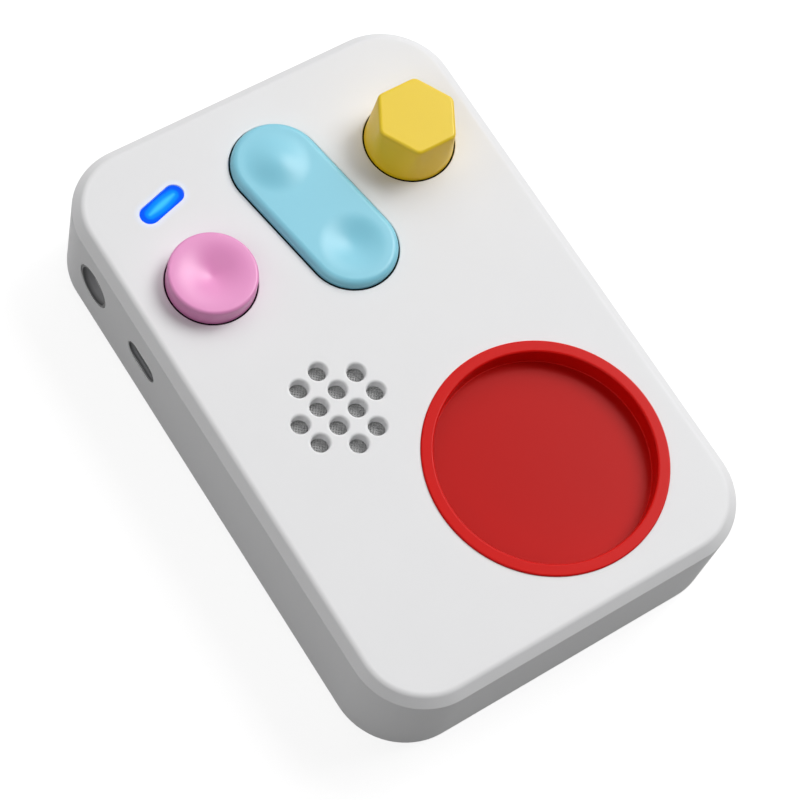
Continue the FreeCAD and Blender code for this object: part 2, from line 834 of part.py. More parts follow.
def track_rocker():
    """Long cap on a pivot: a raised dome at its upper end, a hollow at its lower end."""
    top = face_z + rocker_proud
    skirt_z = under_face - rocker_skirt
    roof_z = top - rocker_dip_depth - rocker_wall
    stem_z = dome_top + dome_stem_gap
    cap = prism(stadium(rocker_half_pitch, rocker_radius, skirt_z), top - skirt_z)
    cap = cap.makeFillet(rocker_edge_round, edges_where(cap, lambda edge: flat_at(edge, top)))
    cap = cap.cut(prism(stadium(rocker_half_pitch, rocker_radius - rocker_wall, skirt_z), roof_z - skirt_z))
    cap = cap.fuse(rocker_mark(rocker_dome_height, top, rocker_half_pitch))
    cap = cap.cut(rocker_mark(-rocker_dip_depth, top, -rocker_half_pitch))
    solids = [cap, across_bar(pivot_lug_radius, pivot_lug_half)]
    solids.append(box(2 * pivot_lug_radius, 2 * pivot_lug_half, roof_z - pivot_z, 0, 0, pivot_z))
    for side in (-1, 1):
        solids.append(cylinder(rocker_stem_radius, stem_z, roof_z, side * rocker_half_pitch, 0))
    bore = across_bar(pivot_radius + pivot_running_gap, pivot_lug_half + cutter_over_run)
    rocker = fuse_all(solids).cut(bore)
    return placed(rocker, rocker_x, rocker_y, rocker_turn + 90)


def rocker_pin():
    return pivot_bar(pivot_radius, pivot_half_length())


def next_dome():
    return silicone_dome(*rocker_end(1))


def back_dome():
    return silicone_dome(*rocker_end(-1))


# ------------------------------------------------------------------ volume knob and encoder
def polar(radius, angle, z):
    return V(radius * math.cos(angle), radius * math.sin(angle), z)


def ring_of_arcs(radius, half_corner, z):
    """Circle made of twelve arcs, one under each corner and each flat of the six-sided top."""
    edges = []
    for index in range(6):
        corner = index * math.pi / 3.0
        side = corner + math.pi / 6.0
        next_corner = corner + math.pi / 3.0
        turns = [corner - half_corner, corner, corner + half_corner, side, next_corner - half_corner]
        points = [polar(radius, angle, z) for angle in turns]
        edges.append(Part.Arc(points[0], points[1], points[2]).toShape())
        edges.append(Part.Arc(points[2], points[3], points[4]).toShape())
    return Part.Wire(edges)


def rounded_hexagon(circumradius, corner_round, z):
    """Hexagon with one corner on +X and its corners rounded."""
    centre_radius = circumradius - corner_round / math.cos(math.pi / 6.0)
    arcs = []
    for index in range(6):
        angle = index * math.pi / 3.0
        centre = polar(centre_radius, angle, z)
        swings = (-math.pi / 6.0, 0.0, math.pi / 6.0)
        arcs.append([centre + polar(corner_round, angle + swing, 0) for swing in swings])
    edges = []
    for index, (start, middle, end) in enumerate(arcs):
        following = arcs[(index + 1) % 6][0]
        edges.append(Part.Arc(start, middle, end).toShape())
        edges.append(Part.LineSegment(end, following).toShape())
    return Part.Wire(edges)


def shaft_stick(growth, bottom, top):
    """Round bar with a flat along one side; growth widens it for the bore that it fits."""
    reach = 2 * shaft_radius
    flat_x = shaft_radius - shaft_flat + growth
    cut = Part.makeBox(reach, 2 * reach, top - bottom, V(flat_x, -reach, bottom))
    return cylinder(shaft_radius + growth, bottom, top).cut(cut)


def volume_knob():
    """Cap that blends from a round base to a six-sided flat top, hollow below round its boss."""
    base_z = face_z - knob_sunk
    top = face_z + knob_proud
    roof_z = top - knob_roof
    base = ring_of_arcs(knob_base_radius, knob_corner_half_angle, face_z)
    crown = rounded_hexagon(knob_hex_radius, knob_corner_round, top)
    body = Part.makeLoft([base, crown], True, True)
    body = body.makeFillet(knob_edge_round, edges_where(body, lambda edge: flat_at(edge, top)))
    body = body.fuse(cylinder(knob_base_radius, base_z, face_z))
    inner_top = knob_hex_radius * math.cos(math.pi / 6.0) - knob_wall
    hollow = Part.makeCone(knob_base_radius - knob_wall, inner_top, roof_z - base_z, V(0, 0, base_z), UP)
    boss = cylinder(knob_boss_radius, base_z, roof_z)
    bore = shaft_stick(shaft_seat_gap, base_z, base_z + shaft_engagement + shaft_end_gap)
    knob = body.cut(hollow).fuse(boss).cut(bore).removeSplitter()
    return placed(knob, knob_x, knob_y)


def encoder_shaft():
    """Shaft that turns in the encoder: round in the bush, with a flat where the knob grips it."""
    knob_bottom = face_z - knob_sunk
    flat_z = knob_bottom - bush_knob_gap / 2.0
    plain = cylinder(shaft_radius, board_top + encoder_floor + shaft_end_gap, flat_z)
    gripped = shaft_stick(0.0, flat_z, knob_bottom + shaft_engagement)
    return placed(plain.fuse(gripped), knob_x, knob_y)


def encoder_body():
    top = board_top + encoder_height
    body = box(encoder_width, encoder_width, encoder_height, 0, 0, board_top)
    corners = edges_where(body, lambda edge: edge.BoundBox.ZLength > encoder_height / 2.0)
    body = body.makeChamfer(encoder_corner_chamfer, corners)
    bore = cylinder(shaft_radius + shaft_running_gap, board_top + encoder_floor, top)
    return placed(body.cut(bore), knob_x, knob_y)


def encoder_bush():
    bottom = board_top + encoder_height
    top = face_z - knob_sunk - bush_knob_gap
    return tube(bush_radius, shaft_radius + shaft_running_gap, bottom, top, knob_x, knob_y)


# ------------------------------------------------------------------ status light
def light_pipe():
    """Clear moulded pipe: a pill-shaped window in the face, a flange, a leg down to the lamp."""
    top = face_z - light_sunk
    flange_z = under_face - light_flange_thickness
    leg_z = board_top + led_height + led_gap
    window = prism(stadium(light_half_pitch, light_radius, under_face), top - under_face)
    window = window.makeChamfer(light_edge_chamfer, edges_where(window, lambda edge: flat_at(edge, top)))
    flange_outline = stadium(light_half_pitch, light_radius + light_flange_width, flange_z)
    flange = prism(flange_outline, light_flange_thickness)
    leg = prism(stadium(light_leg_half_pitch, light_leg_radius, leg_z), flange_z - leg_z)
    return placed(fuse_all([window, flange, leg]), light_x, light_y, light_turn)


def status_lamp():
    lamp = box(led_width, led_depth, led_height, 0, 0, board_top)
    return placed(lamp, light_x, light_y, light_turn)


# ------------------------------------------------------------------ main board
def main_board():
    """Board with round corners, cut away round the screw posts of the case."""
    low_x, high_x, low_y, high_y = board_limits()
    outline = rounded_rectangle(
        high_x - low_x, high_y - low_y, board_corner_radius, board_bottom,
        (low_x + high_x) / 2.0, (low_y + high_y) / 2.0)
    cutters = []
    for x, y in post_places():
        cutters.append(cylinder(post_radius + board_post_clearance, board_bottom, board_top, x, y))
    for x, y in board_post_places():
        cutters.append(cylinder(board_screw_radius + screw_pass_gap, board_bottom, board_top, x, y))
    return prism(outline, board_thickness).cut(cutters)


def board_screws():
    """Four pan-head screws that pull the board up against its posts."""
    head_z = board_bottom - board_screw_head_height
    screws = []
    for x, y in board_post_places():
        shank = cylinder(board_screw_radius, board_bottom, board_bottom + board_screw_length, x, y)
        head = cylinder(board_screw_head_radius, head_z, board_bottom, x, y)
        rim = edges_where(head, lambda edge: flat_at(edge, head_z))
        screws.append(shank.fuse(head.makeChamfer(board_screw_head_chamfer, rim)))
    return Part.makeCompound(screws)


def processor_chip():
    bottom = board_bottom - chip_height
    chip = box(chip_size, chip_size, chip_height, chip_x, chip_y, bottom)
    return chip.makeChamfer(chip_chamfer, edges_where(chip, lambda edge: flat_at(edge, bottom)))


# ------------------------------------------------------------------ sockets in the left side
def jack_sleeve():
    """Dark collar in the round side hole: a recess down to the jack, a flange behind the wall."""
    mouth = left_side + port_flush_gap
    outer = jack_hole_radius - port_fit_gap
    body = cylinder(outer, mouth, port_back)
    flange = cylinder(jack_hole_radius + port_flange_width, left_inside, port_back)
    recess = cylinder(outer - jack_sleeve_wall, mouth, left_inside)
    passage = cylinder(jack_nose_radius + port_fit_gap, left_inside, port_back)
    return along_x(body.fuse(flange).cut([recess, passage]).removeSplitter(), jack_y, port_z)


def headphone_jack():
    """Socket body on the board with a round nose; its bore takes a 3.5 mm plug."""
    end = port_back + jack_body_length
    nose = cylinder(jack_nose_radius, left_inside, port_back)
    body = box(jack_body_width, 2 * port_above_board, jack_body_length, 0, 0, port_back)
    bore = cylinder(jack_bore_radius, left_inside, end)
    return along_x(nose.fuse(body).cut(bore).removeSplitter(), jack_y, port_z)


def usb_bar(length, height, start, end):
    """Pill-shaped bar along X at the charging socket, its long side level."""
    radius = height / 2.0
    return along_x(prism(stadium(length / 2.0 - radius, radius, start), end - start), usb_y, port_z)


def usb_sleeve():
    """Dark collar that fills the slot of the case round the charging socket's shell."""
    mouth = left_side + port_flush_gap
    fit = 2 * port_fit_gap
    rim = 2 * port_flange_width
    body = usb_bar(usb_hole_length - fit, usb_hole_height - fit, mouth, port_back)
    flange = usb_bar(usb_hole_length + rim, usb_hole_height + rim, left_inside, port_back)
    passage = usb_bar(usb_shell_length + fit, usb_shell_height + fit, mouth, port_back)
    return body.fuse(flange).cut(passage).removeSplitter()


def usb_shell():
    """Folded steel shell of the charging socket, closed at the back, on two legs."""
    start = left_side + usb_shell_sunk
    end = start + usb_shell_depth
    walls = 2 * usb_shell_wall
    outer = usb_bar(usb_shell_length, usb_shell_height, start, end)
    inner = usb_bar(usb_shell_length - walls, usb_shell_height - walls, start, end - usb_shell_back)
    leg_top = port_z - (usb_shell_height - usb_shell_wall) / 2.0
    leg_offset = usb_shell_length / 2.0 - usb_leg_end_inset
    legs = []
    for side in (-1, 1):
        legs.append(box(
            usb_leg_length, usb_leg_thickness, leg_top - board_top,
            end - usb_leg_back_inset, usb_y + side * leg_offset, board_top))
    return outer.cut(inner).multiFuse(legs)


def usb_tongue():
    end = left_side + usb_shell_sunk + usb_shell_depth - usb_shell_back
    length = usb_shell_length - 2 * (usb_shell_wall + usb_tongue_side_gap)
    corner = V(end - usb_tongue_reach, usb_y - length / 2.0, port_z - usb_tongue_height / 2.0)
    return Part.makeBox(usb_tongue_reach, length, usb_tongue_height, corner)


# ------------------------------------------------------------------ battery
def battery():
    """Flat pouch cell with rounded corners."""
    pack = box(battery_width, battery_length, battery_height, battery_x, battery_y, battery_base)
    upright = edges_where(pack, lambda edge: edge.BoundBox.ZLength > battery_height / 2.0)
    return pack.makeFillet(battery_round, upright)


def battery_pad():
    width = battery_width - 2 * pad_inset
    length = battery_length - 2 * pad_inset
    return box(width, length, pad_thickness, battery_x, battery_y, cover_top)


def battery_socket():
    """White two-pin socket under the board, open towards the battery."""
    bottom = board_bottom - socket_height
    block = box(socket_width, socket_depth, socket_height, socket_x, socket_y, bottom)
    mouth = box(
        socket_width - 2 * socket_wall, socket_depth, socket_height - 2 * socket_wall,
        socket_x, socket_y - socket_back, bottom + socket_wall)
    return block.cut(mouth)


# ------------------------------------------------------------------ all pieces
PIECES = [
    front_shell, back_cover, case_screws, rubber_feet, disc_dish, antenna_board, antenna_coil,
    speaker_cloth, speaker_gasket, speaker_frame, speaker_cone, speaker_magnet,
    play_button, play_dome, track_rocker, rocker_pin, next_dome, back_dome,
    volume_knob, encoder_shaft, encoder_body, encoder_bush, light_pipe, status_lamp,
    main_board, board_screws, processor_chip, jack_sleeve, headphone_jack,
    usb_sleeve, usb_shell, usb_tongue, battery, battery_pad, battery_socket,
]

os.makedirs("parts", exist_ok=True)
for make_piece in PIECES:
    make_piece().exportStep(os.path.join("parts", make_piece.__name__ + ".step"))
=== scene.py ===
"""Finished pieces, materials, stage and camera of an audio story player, built round its CAD frame.

Metres.  X runs across the case, Y along it towards the knob end, Z out of the face.
"""
import math

import bmesh
import bpy
from mathutils import Matrix, Vector


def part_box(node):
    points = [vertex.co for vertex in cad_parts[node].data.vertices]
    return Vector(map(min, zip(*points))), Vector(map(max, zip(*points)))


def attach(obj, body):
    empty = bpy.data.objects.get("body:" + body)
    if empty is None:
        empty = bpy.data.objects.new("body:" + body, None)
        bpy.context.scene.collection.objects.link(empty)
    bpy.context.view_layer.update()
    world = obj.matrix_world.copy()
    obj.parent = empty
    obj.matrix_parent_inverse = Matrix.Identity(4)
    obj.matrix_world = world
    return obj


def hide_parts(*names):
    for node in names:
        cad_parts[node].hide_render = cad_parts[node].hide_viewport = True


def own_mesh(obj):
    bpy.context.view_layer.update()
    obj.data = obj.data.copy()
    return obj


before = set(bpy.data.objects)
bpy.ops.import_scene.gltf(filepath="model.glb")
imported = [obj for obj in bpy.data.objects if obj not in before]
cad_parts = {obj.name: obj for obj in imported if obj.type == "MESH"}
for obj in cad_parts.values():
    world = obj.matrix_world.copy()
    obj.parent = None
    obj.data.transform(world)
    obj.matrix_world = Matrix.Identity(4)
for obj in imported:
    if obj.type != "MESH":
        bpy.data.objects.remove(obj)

bl_info = {
    "name": "Audio Story Player",
    "version": (1, 0, 0),
    "blender": (4, 5, 0),
    "location": "View3D > Sidebar > Story Player",
    "description": "Builds the finished pieces of a child's audio story player round its CAD frame",
    "category": "Object",
}

MM = 0.001
HAIR = 0.001 * MM  # keeps surfaces apart that would else coincide
TINY = 1e-9  # a radius below this counts as none
STEP_SLACK = 1e-7  # how far two heights may differ and still be the same level
CORNER_STEPS = 28  # steps round each corner of the case's outline
DISH_STEPS = 144  # steps round the dish and round its opening, alike so that the thin gap stays even
KNOB_SIDES = 6
KNOB_CORNER_STEPS = 8  # steps round each corner of the top, and round the arc of the base below it
KNOB_SIDE_STEPS = 12  # steps from one corner to the next
KNOB_CORNER_SPREAD = math.radians(10)  # half of the base's arc that leads into one corner of the top
SMOOTH_ANGLE = math.radians(32)  # edges sharper than this are drawn sharp
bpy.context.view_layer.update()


# ------------------------------------------------------------------ places, read from the frame
def middle(node):
    """Centre of a CAD node's box."""
    low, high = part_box(node)
    return (low + high) / 2


case_low, case_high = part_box("front_shell")
face_z = case_high.z
# Below this height a cap is painted near black, as painted shade in the gap round it.
gap_shade_top = face_z - 0.12 * MM  # a cap keeps its own colour down to here, and is black below
dish_place = middle("disc_dish")
play_place = middle("play_button")
rocker_place = middle("track_rocker")
knob_place = middle("volume_knob")
light_place = middle("light_pipe")
grille_place = middle("speaker_cloth")
jack_place = middle("jack_sleeve")
usb_place = middle("usb_sleeve")


# ------------------------------------------------------------------ settings
def linear(code):
    """Linear colour of an sRGB hex code such as "e0e0e0"."""
    levels = [int(code[start:start + 2], 16) / 255 for start in (0, 2, 4)]
    return [level / 12.92 if level <= 0.04045 else ((level + 0.055) / 1.055) ** 2.4 for level in levels]


def length(name, millimetres, description):
    """Property for a length, with its default in millimetres."""
    return bpy.props.FloatProperty(
        name=name, description=description, default=millimetres * MM, min=0, unit="LENGTH", precision=5)


def turn(name, degrees, description):
    """Property for an angle, with its default in degrees."""
    return bpy.props.FloatProperty(
        name=name, description=description, default=math.radians(degrees), subtype="ANGLE")


def colour(name, code, description):
    """Property for a colour, with its default as an sRGB hex code."""
    return bpy.props.FloatVectorProperty(
        name=name, description=description, default=linear(code), size=3, min=0, max=1, subtype="COLOR")


def share(name, value, description):
    """Property for a plain factor."""
    return bpy.props.FloatProperty(name=name, description=description, default=value, min=0, subtype="FACTOR")


class CaseSettings(bpy.types.PropertyGroup):
    shade: colour("Colour", "e9e9ea", "Colour of the case's plastic")
    corner: length("Corner radius", 14.5, "Radius of the case's corners, seen from above")
    wall: length("Wall", 2.2, "Thickness of the side walls and of the face")
    seat: length("Cover seat", 1.0, "Width of the step in the wall that the back cover rests on")
    cover: length("Cover", 2.0, "Thickness of the back cover")
    chamfer_in: length("Chamfer width", 2.05, "How far the chamfer round the face runs inwards")
    chamfer_down: length("Chamfer drop", 1.95, "How far the chamfer round the face runs down the side")
    blend: length("Face blend", 1.7, "Radius of the soft round between the face and its chamfer")
    crest: length("Side blend", 0.18, "Radius of the edge between the chamfer and the side")
    foot_chamfer: length("Lower chamfer", 0.5, "Chamfer round the lower edge of the side")
    foot_blend: length("Lower blend", 0.2, "Radius of the edge between the side and its lower chamfer")
    mouth: length("Hole round", 0.22, "Radius of the round at the mouth of each opening in the face")
    dish_mouth: length("Dish hole round", 0.04, "Radius of the round at the mouth of the dish's opening")


class GrilleSettings(bpy.types.PropertyGroup):
    shade: colour("Cloth colour", "c4c4c4", "Colour of the cloth behind the sound holes")
    pitch: length("Hole pitch", 5.2, "Distance between the rows of sound holes")
    radius: length("Hole radius", 1.8, "Radius of a sound hole")
    mouth: length("Mouth round", 0.55, "Radius of the round at the mouth of a sound hole")
    lean: turn("Turn", 15.0, "How far the rows lean from the case's sides")
    thread_pitch: length("Thread pitch", 0.54, "Distance between the threads of the cloth")
    thread_radius: length("Thread radius", 0.22, "Radius of one thread")
    wave: share("Wave", 0.6, "How far a thread swings up and down, as a share of its radius")
    slack: length("Slack", 0.5, "How far the middle of the cloth hangs below its glued edge")
    bias: turn("Bias", -38.0, "Direction of the cloth's threads from across the case")


class DishSettings(bpy.types.PropertyGroup):
    shade: colour("Colour", "d00c06", "Colour of the dish")
    inside: length("Inner radius", 21.75, "Radius of the recess that takes the story disc")
    rim: length("Rim width", 2.5, "Width of the flat raised rim")
    wall: length("Wall", 1.2, "Thickness of the cup's side")
    floor: length("Floor", 1.4, "Thickness of the cup's floor")
    depth: length("Depth", 4.2, "Top of the rim to the floor")
    seat: length("Rim seat", 1.0, "Depth of the step in the face that the rim drops into")
    edge: length("Edge round", 0.3, "Radius of the rim's outer edge")
    heel: length("Heel round", 0.3, "Radius of the cup's lower edge")
    brim: length("Inner edge round", 0.45, "Radius of the rim's inner edge, over which a disc slides in")
    foot: length("Foot round", 0.2, "Radius of the round between the recess's wall and its floor")
    gap: length("Gap", 0.015, "Gap between the dish and the case")
    # The floor's colour is the dish's red darkened as painted shade in the recess.
    recess_floor_painted_shade: colour("Floor colour", "b80b06", "Colour of the textured floor of the recess")


class PlaySettings(bpy.types.PropertyGroup):
    shade: colour("Colour", "e28bc1", "Colour of the play button")
    radius: length("Radius", 8.85, "Radius of the cap at the face")
    draft: length("Draft", 0.05, "How much narrower the cap is at its top")
    edge: length("Edge round", 0.65, "Radius of the cap's top edge")
    land: length("Land", 0.4, "Width of the flat ring round the hollow")
    hollow: length("Hollow", 1.9, "Depth of the hollow in the top")
    steep: share("Steepness", 0.78, "Shape of the hollow: below 1 its steep part lies nearer the middle")
    wall: length("Wall", 1.5, "Thickness of the cap's side and roof")
    flange: length("Flange", 1.4, "Width of the retaining flange under the face")
    flange_high: length("Flange height", 1.0, "Thickness of the retaining flange")
    flange_gap: length("Flange gap", 0.15, "Gap between the flange and the face's underside at rest")
    stem: length("Stem radius", 2.5, "Radius of the stem that presses the dome")
    stem_edge: length("Stem round", 0.2, "Radius of the stem's lower edge")
    gap: length("Gap", 0.3, "Gap round the cap where it passes the face")


class RockerSettings(bpy.types.PropertyGroup):
    shade: colour("Colour", "80c8dc", "Colour of the rocker")
    radius: length("Radius", 9.2, "Radius of the rocker's round ends")
    half_pitch: length("Half pitch", 11.1, "Middle of the rocker to the centre of a round end")
    lean: turn("Lean", 99.7, "Direction of the rocker's long axis from across the case")
    proud: length("Height", 1.75, "Height of the rocker's top over the face")
    edge: length("Edge round", 1.45, "Radius of the rocker's top edge")
    mark: length("Mark radius", 6.9, "Radius of the two finger marks")
    dome: length("Dome", 1.15, "Height of the raised mark")
    dip: length("Hollow", 1.25, "Depth of the sunk mark")
    land: length("Land", 0.25, "Width of the flat between the edge round and the top's inner face")
    skirt: length("Skirt", 0.6, "How far the side reaches below the face's underside")
    skirt_edge: length("Skirt round", 0.15, "Radius of the side's lower edge")
    stem: length("Stem radius", 1.8, "Radius of the two stems that press the domes")
    stem_root: length("Stem root", 0.4, "How far a stem reaches into the roof")
    wall: length("Wall", 1.6, "Thickness of the rocker's side and roof")
    gap: length("Gap", 0.32, "Gap round the rocker where it passes the face")


class KnobSettings(bpy.types.PropertyGroup):
    # The top has the knob's own colour; the paler, warmer side colour is painted bounce light, not wear from
    # handling.
    shade: colour("Colour", "e7c608", "Colour of the knob's handled top")
    deep: colour("Side colour", "fdd006", "Colour of the knob's sides, which are handled less")
    base: length("Base radius", 9.05, "Radius of the knob's round base")
    crown: length("Crown radius", 8.7, "Sharp corners of the six-sided top to its middle")
    corner: length("Corner round", 1.6, "Radius of the six upright corners at the top")
    edge: length("Edge round", 0.7, "Radius of the top edge")
    wall: length("Wall", 2.0, "Thickness of the knob's side")
    roof: length("Roof", 2.6, "Thickness of the knob's top")
    sunk: length("Sunk", 1.4, "How far the base reaches below the face")
    boss: length("Boss radius", 5.0, "Radius of the boss round the shaft")
    bore: length("Bore radius", 3.02, "Radius of the bore that takes the shaft")
    bore_deep: length("Bore depth", 7.3, "Depth of the bore from the base")
    gap: length("Gap", 0.3, "Gap round the knob where it passes the face")


class LightSettings(bpy.types.PropertyGroup):
    core: colour("Core colour", "43cbff", "Colour of the glow along the middle of the window")
    between: colour("Middle colour", "0090ff", "Colour of the glow half way to the window's edge")
    edge: colour("Edge colour", "0056ff", "Colour of the glow at the window's edge")
    body: colour("Plastic colour", "00246e", "Colour of the window's plastic under its glow")
    glow: share("Glow", 0.95, "Strength of the window's glow")
    lamp_reach: length("Lamp reach", 3.6, "Distance along the window over which the glow turns deeper")
    lamp_fade: share("Lamp fade", 0.22, "How much deeper the glow is at that distance")
    half_pitch: length("Half pitch", 3.3, "Middle of the window to the centre of a round end")
    radius: length("Radius", 2.0, "Radius of the window's round ends")
    lean: turn("Lean", 15.5, "Direction of the window's long axis from across the case")
    sunk: length("Sunk", 0.15, "How far the window lies below the face")
    edge_round: length("Edge round", 0.3, "Radius of the window's top edge")
    flange: length("Flange", 0.9, "Width and thickness of the flange that holds the window from below")
    leg_half_pitch: length("Leg half pitch", 1.0, "Middle of the leg to the centre of a round end")
    leg_radius: length("Leg radius", 0.9, "Radius of the leg's round ends")
    leg_root: length("Leg root", 0.5, "How far below the face's underside the leg begins, inside the flange")
    gap: length("Gap", 0.05, "Gap round the window where it passes the face")
    mouth: length("Mouth round", 0.08, "Radius of the round at the mouth of the window's opening")
    halo: length("Halo", 1.5, "How far the glow spreads over the case round the window")
    halo_shade: colour("Halo colour", "5aa0ff", "Colour of the glow on the case")
    halo_glow: share("Halo glow", 0.16, "Strength of the glow on the case at the window's edge")


class SocketSettings(bpy.types.PropertyGroup):
    shade: colour("Colour", "555556", "Colour of the two socket collars at their mouths")
    # The inner colour is painted light: paler than the mouth, it lifts the shade inside the holes.
    inside: colour("Inner colour", "acacae", "Colour of the collars' inner walls")
    jack_radius: length("Jack hole radius", 4.75, "Radius of the round hole in the side")
    slot_long: length("Slot length", 9.45, "Length of the charging slot")
    slot_high: length("Slot height", 5.2, "Height of the charging slot")
    mouth: length("Mouth round", 0.12, "Radius of the round at the mouth of each hole in the side")
    rim_deep: length("Rim depth", 0.2, "Depth down to which a collar has the colour of its mouth")
    painted_light_deep: length("Inner depth", 1.2, "Depth from which a collar has its inner colour")


class CoverSettings(bpy.types.PropertyGroup):
    gap: length("Gap", 0.15, "Gap between the cover and the case's walls")
    edge: length("Edge round", 0.3, "Radius of the cover's outer edges")
    lip: length("Lip", 1.0, "Thickness of the upright lip that centres the cover")
    lip_high: length("Lip height", 1.6, "Height of the lip")
    lip_edge: length("Lip round", 0.2, "Radius of the lip's upper edges")
    inner_edge: length("Inner edge round", 0.1, "Radius of the cover's inner edge")
    easing: length("Hole round", 0.08, "Radius of the round at the mouth of each hole and recess")
    tray: length("Tray wall", 1.2, "Thickness of the battery tray's four corners")
    tray_gap: length("Tray gap", 0.4, "Gap between the battery and its tray")
    tray_high: length("Tray height", 3.6, "Height of the battery tray")
    recess: length("Foot recess", 0.6, "Depth of the recesses that the feet are glued into")


class FootSettings(bpy.types.PropertyGroup):
    shade: colour("Colour", "3a3a3c", "Colour of the rubber feet")
    radius: length("Radius", 4.5, "Radius of a foot")
    edge: length("Edge round", 0.45, "Radius of a foot's lower edge")
    dimple: length("Dimple", 0.25, "Depth of the shallow hollow under a foot")
    dimple_radius: length("Dimple radius", 2.7, "Radius of that hollow")
    dimple_edge: length("Dimple edge", 0.2, "Radius of the hollow's lower edge")
    dimple_foot: length("Dimple foot", 0.1, "Radius of the hollow's inner corner")


class ScrewSettings(bpy.types.PropertyGroup):
    head: length("Head radius", 2.4, "Radius of the countersunk head")
    head_high: length("Head height", 1.2, "Height of the countersunk head")
    shank: length("Shank radius", 1.25, "Radius of the shank over its thread")
    sunk: length("Sunk", 0.1, "How far the head lies inside the cover")
    head_edge: length("Head round", 0.06, "Radius of the head's outer edge")
    head_gap: length("Head gap", 0.03, "Gap round the head in its countersink")
    straight: length("Countersink land", 0.05, "Straight part of the countersink above the head's face")
    shank_gap: length("Shank gap", 0.25, "Gap round the shank in the cover's hole")
    neck: length("Neck", 0.3, "Plain shank between the head and the thread")
    neck_round: length("Neck round", 0.1, "Radius between the head and the shank")
    point: length("Point length", 1.0, "Length of the plain point past the thread")
    tip: length("Tip radius", 0.3, "Radius of the flat tip")
    pitch: length("Thread pitch", 1.1, "Distance between the turns of the thread")
    thread: length("Thread depth", 0.28, "Depth of the thread")
    cross: length("Cross length", 3.1, "Length of the cross recess")
    cross_wide: length("Cross width", 0.75, "Width of the arms of the cross recess")
    cross_deep: length("Cross depth", 0.8, "Depth of the cross recess")
    cross_edge: length("Cross edge", 0.05, "Chamfer round the cross recess")
    cross_taper: length("Cross taper", 0.12, "How much narrower each side of the recess is at its floor")


class DomeSettings(bpy.types.PropertyGroup):
    shade: colour("Colour", "d5d8da", "Colour of the silicone domes")
    radius: length("Radius", 5.0, "Radius of a dome's base ring")
    ring: length("Ring width", 1.6, "Width of the base ring")
    ring_high: length("Ring height", 0.8, "Height of the base ring")
    shoulder: length("Shoulder", 1.0, "Level ring round the foot of the sloping wall")
    crown: length("Top radius", 2.6, "Radius of the flat top that the stem presses")
    wall: length("Wall", 0.7, "Thickness of the sloping wall")
    contact: length("Contact", 0.5, "Thickness of the contact under the top")
    bend: length("Bend", 0.3, "Radius of the bends at the top and at the foot of the sloping wall")
    edge: length("Edge round", 0.2, "Radius of the base ring's upper edge and of the inner corner")
    press: length("Press", 1.15, "How far the button flattens its dome")
    tilt: length("Tilt", 0.65, "How far the rocker flattens a dome")


class StageSettings(bpy.types.PropertyGroup):
    floor: colour("Floor", "8a8a8a", "Colour of the floor")
    key: share("Key light", 1.0, "Strength of the large soft light over the knob side")
    fill: share("Fill light", 1.0, "Strength of the light from all round")
    lift: share("Floor lift", 0.85, "How much paler the floor is where it is seen as the background")


# ------------------------------------------------------------------ rings and profiles
def place_up(x, y, height):
    """Places a ring in a level plane."""
    return Vector((x, y, height))


def place_left(y, z, depth):
    """Places a ring in an upright plane whose depth runs along X."""
    return Vector((depth, y, z))


def turned_place(x, y, along, across, lean):
    """Point at along and across from (x, y), in directions that lean from the case's sides."""
    return (
        x + along * math.cos(lean) - across * math.sin(lean),
        y + along * math.sin(lean) + across * math.cos(lean))


def circle(x=0.0, y=0.0, radius=0.0, count=96, place=place_up):
    """Ring maker: ring(out, height) is the circle grown by out."""
    def ring(out, height):
        size = radius + out
        if size < TINY:
            return [place(x, y, height)]
        turns = [math.tau * step / count for step in range(count)]
        return [place(x + size * math.cos(a), y + size * math.sin(a), height) for a in turns]
    return ring


def pill(x, y, half_pitch, radius, lean=0.0, count=32, place=place_up):
    """Ring maker of two half circles joined by straights, count steps to each half circle."""
    def ring(out, height):
        points = []
        for side in (1, -1):
            for step in range(count + 1):
                a = math.pi * (step / count - 0.5)
                u = side * (half_pitch + (radius + out) * math.cos(a))
                v = side * (radius + out) * math.sin(a)
                points.append(place(*turned_place(x, y, u, v, lean), height))
        return points
    return ring


def case_ring(case, count=CORNER_STEPS):
    """Ring maker of the case's outline.  The long left side is the ring's edge number 2 * count + 1."""
    half = (case_high - case_low) / 2
    centre = (case_high + case_low) / 2

    def ring(out, height):
        points = []
        for corner, (sx, sy) in enumerate(((1, 1), (-1, 1), (-1, -1), (1, -1))):
            cx = centre.x + sx * (half.x - case.corner)
            cy = centre.y + sy * (half.y - case.corner)
            for step in range(count + 1):
                a = math.pi / 2 * (corner + step / count)
                points.append(Vector((
                    cx + (case.corner + out) * math.cos(a), cy + (case.corner + out) * math.sin(a), height)))
        return points
    return ring


def crown_ring(x, y, apothem, corner):
    """Ring maker of the knob's six-sided top with rounded corners, one corner towards +X."""
    side_turn = math.tau / KNOB_SIDES
    reach = (apothem - corner) / math.cos(side_turn / 2)

    def ring(out, height):
        def on_corner(index, a):
            toward = index * side_turn
            return Vector((
                x + reach * math.cos(toward) + (corner + out) * math.cos(a),
                y + reach * math.sin(toward) + (corner + out) * math.sin(a), height))

        points = []
        for index in range(KNOB_SIDES):
            steps = range(KNOB_CORNER_STEPS + 1)
            turns = [side_turn * (index + step / KNOB_CORNER_STEPS - 0.5) for step in steps]
            points += [on_corner(index, a) for a in turns]
            last = points[-1]
            following = on_corner(index + 1, turns[-1])
            points += [last.lerp(following, step / KNOB_SIDE_STEPS) for step in range(1, KNOB_SIDE_STEPS)]
        return points
    return ring


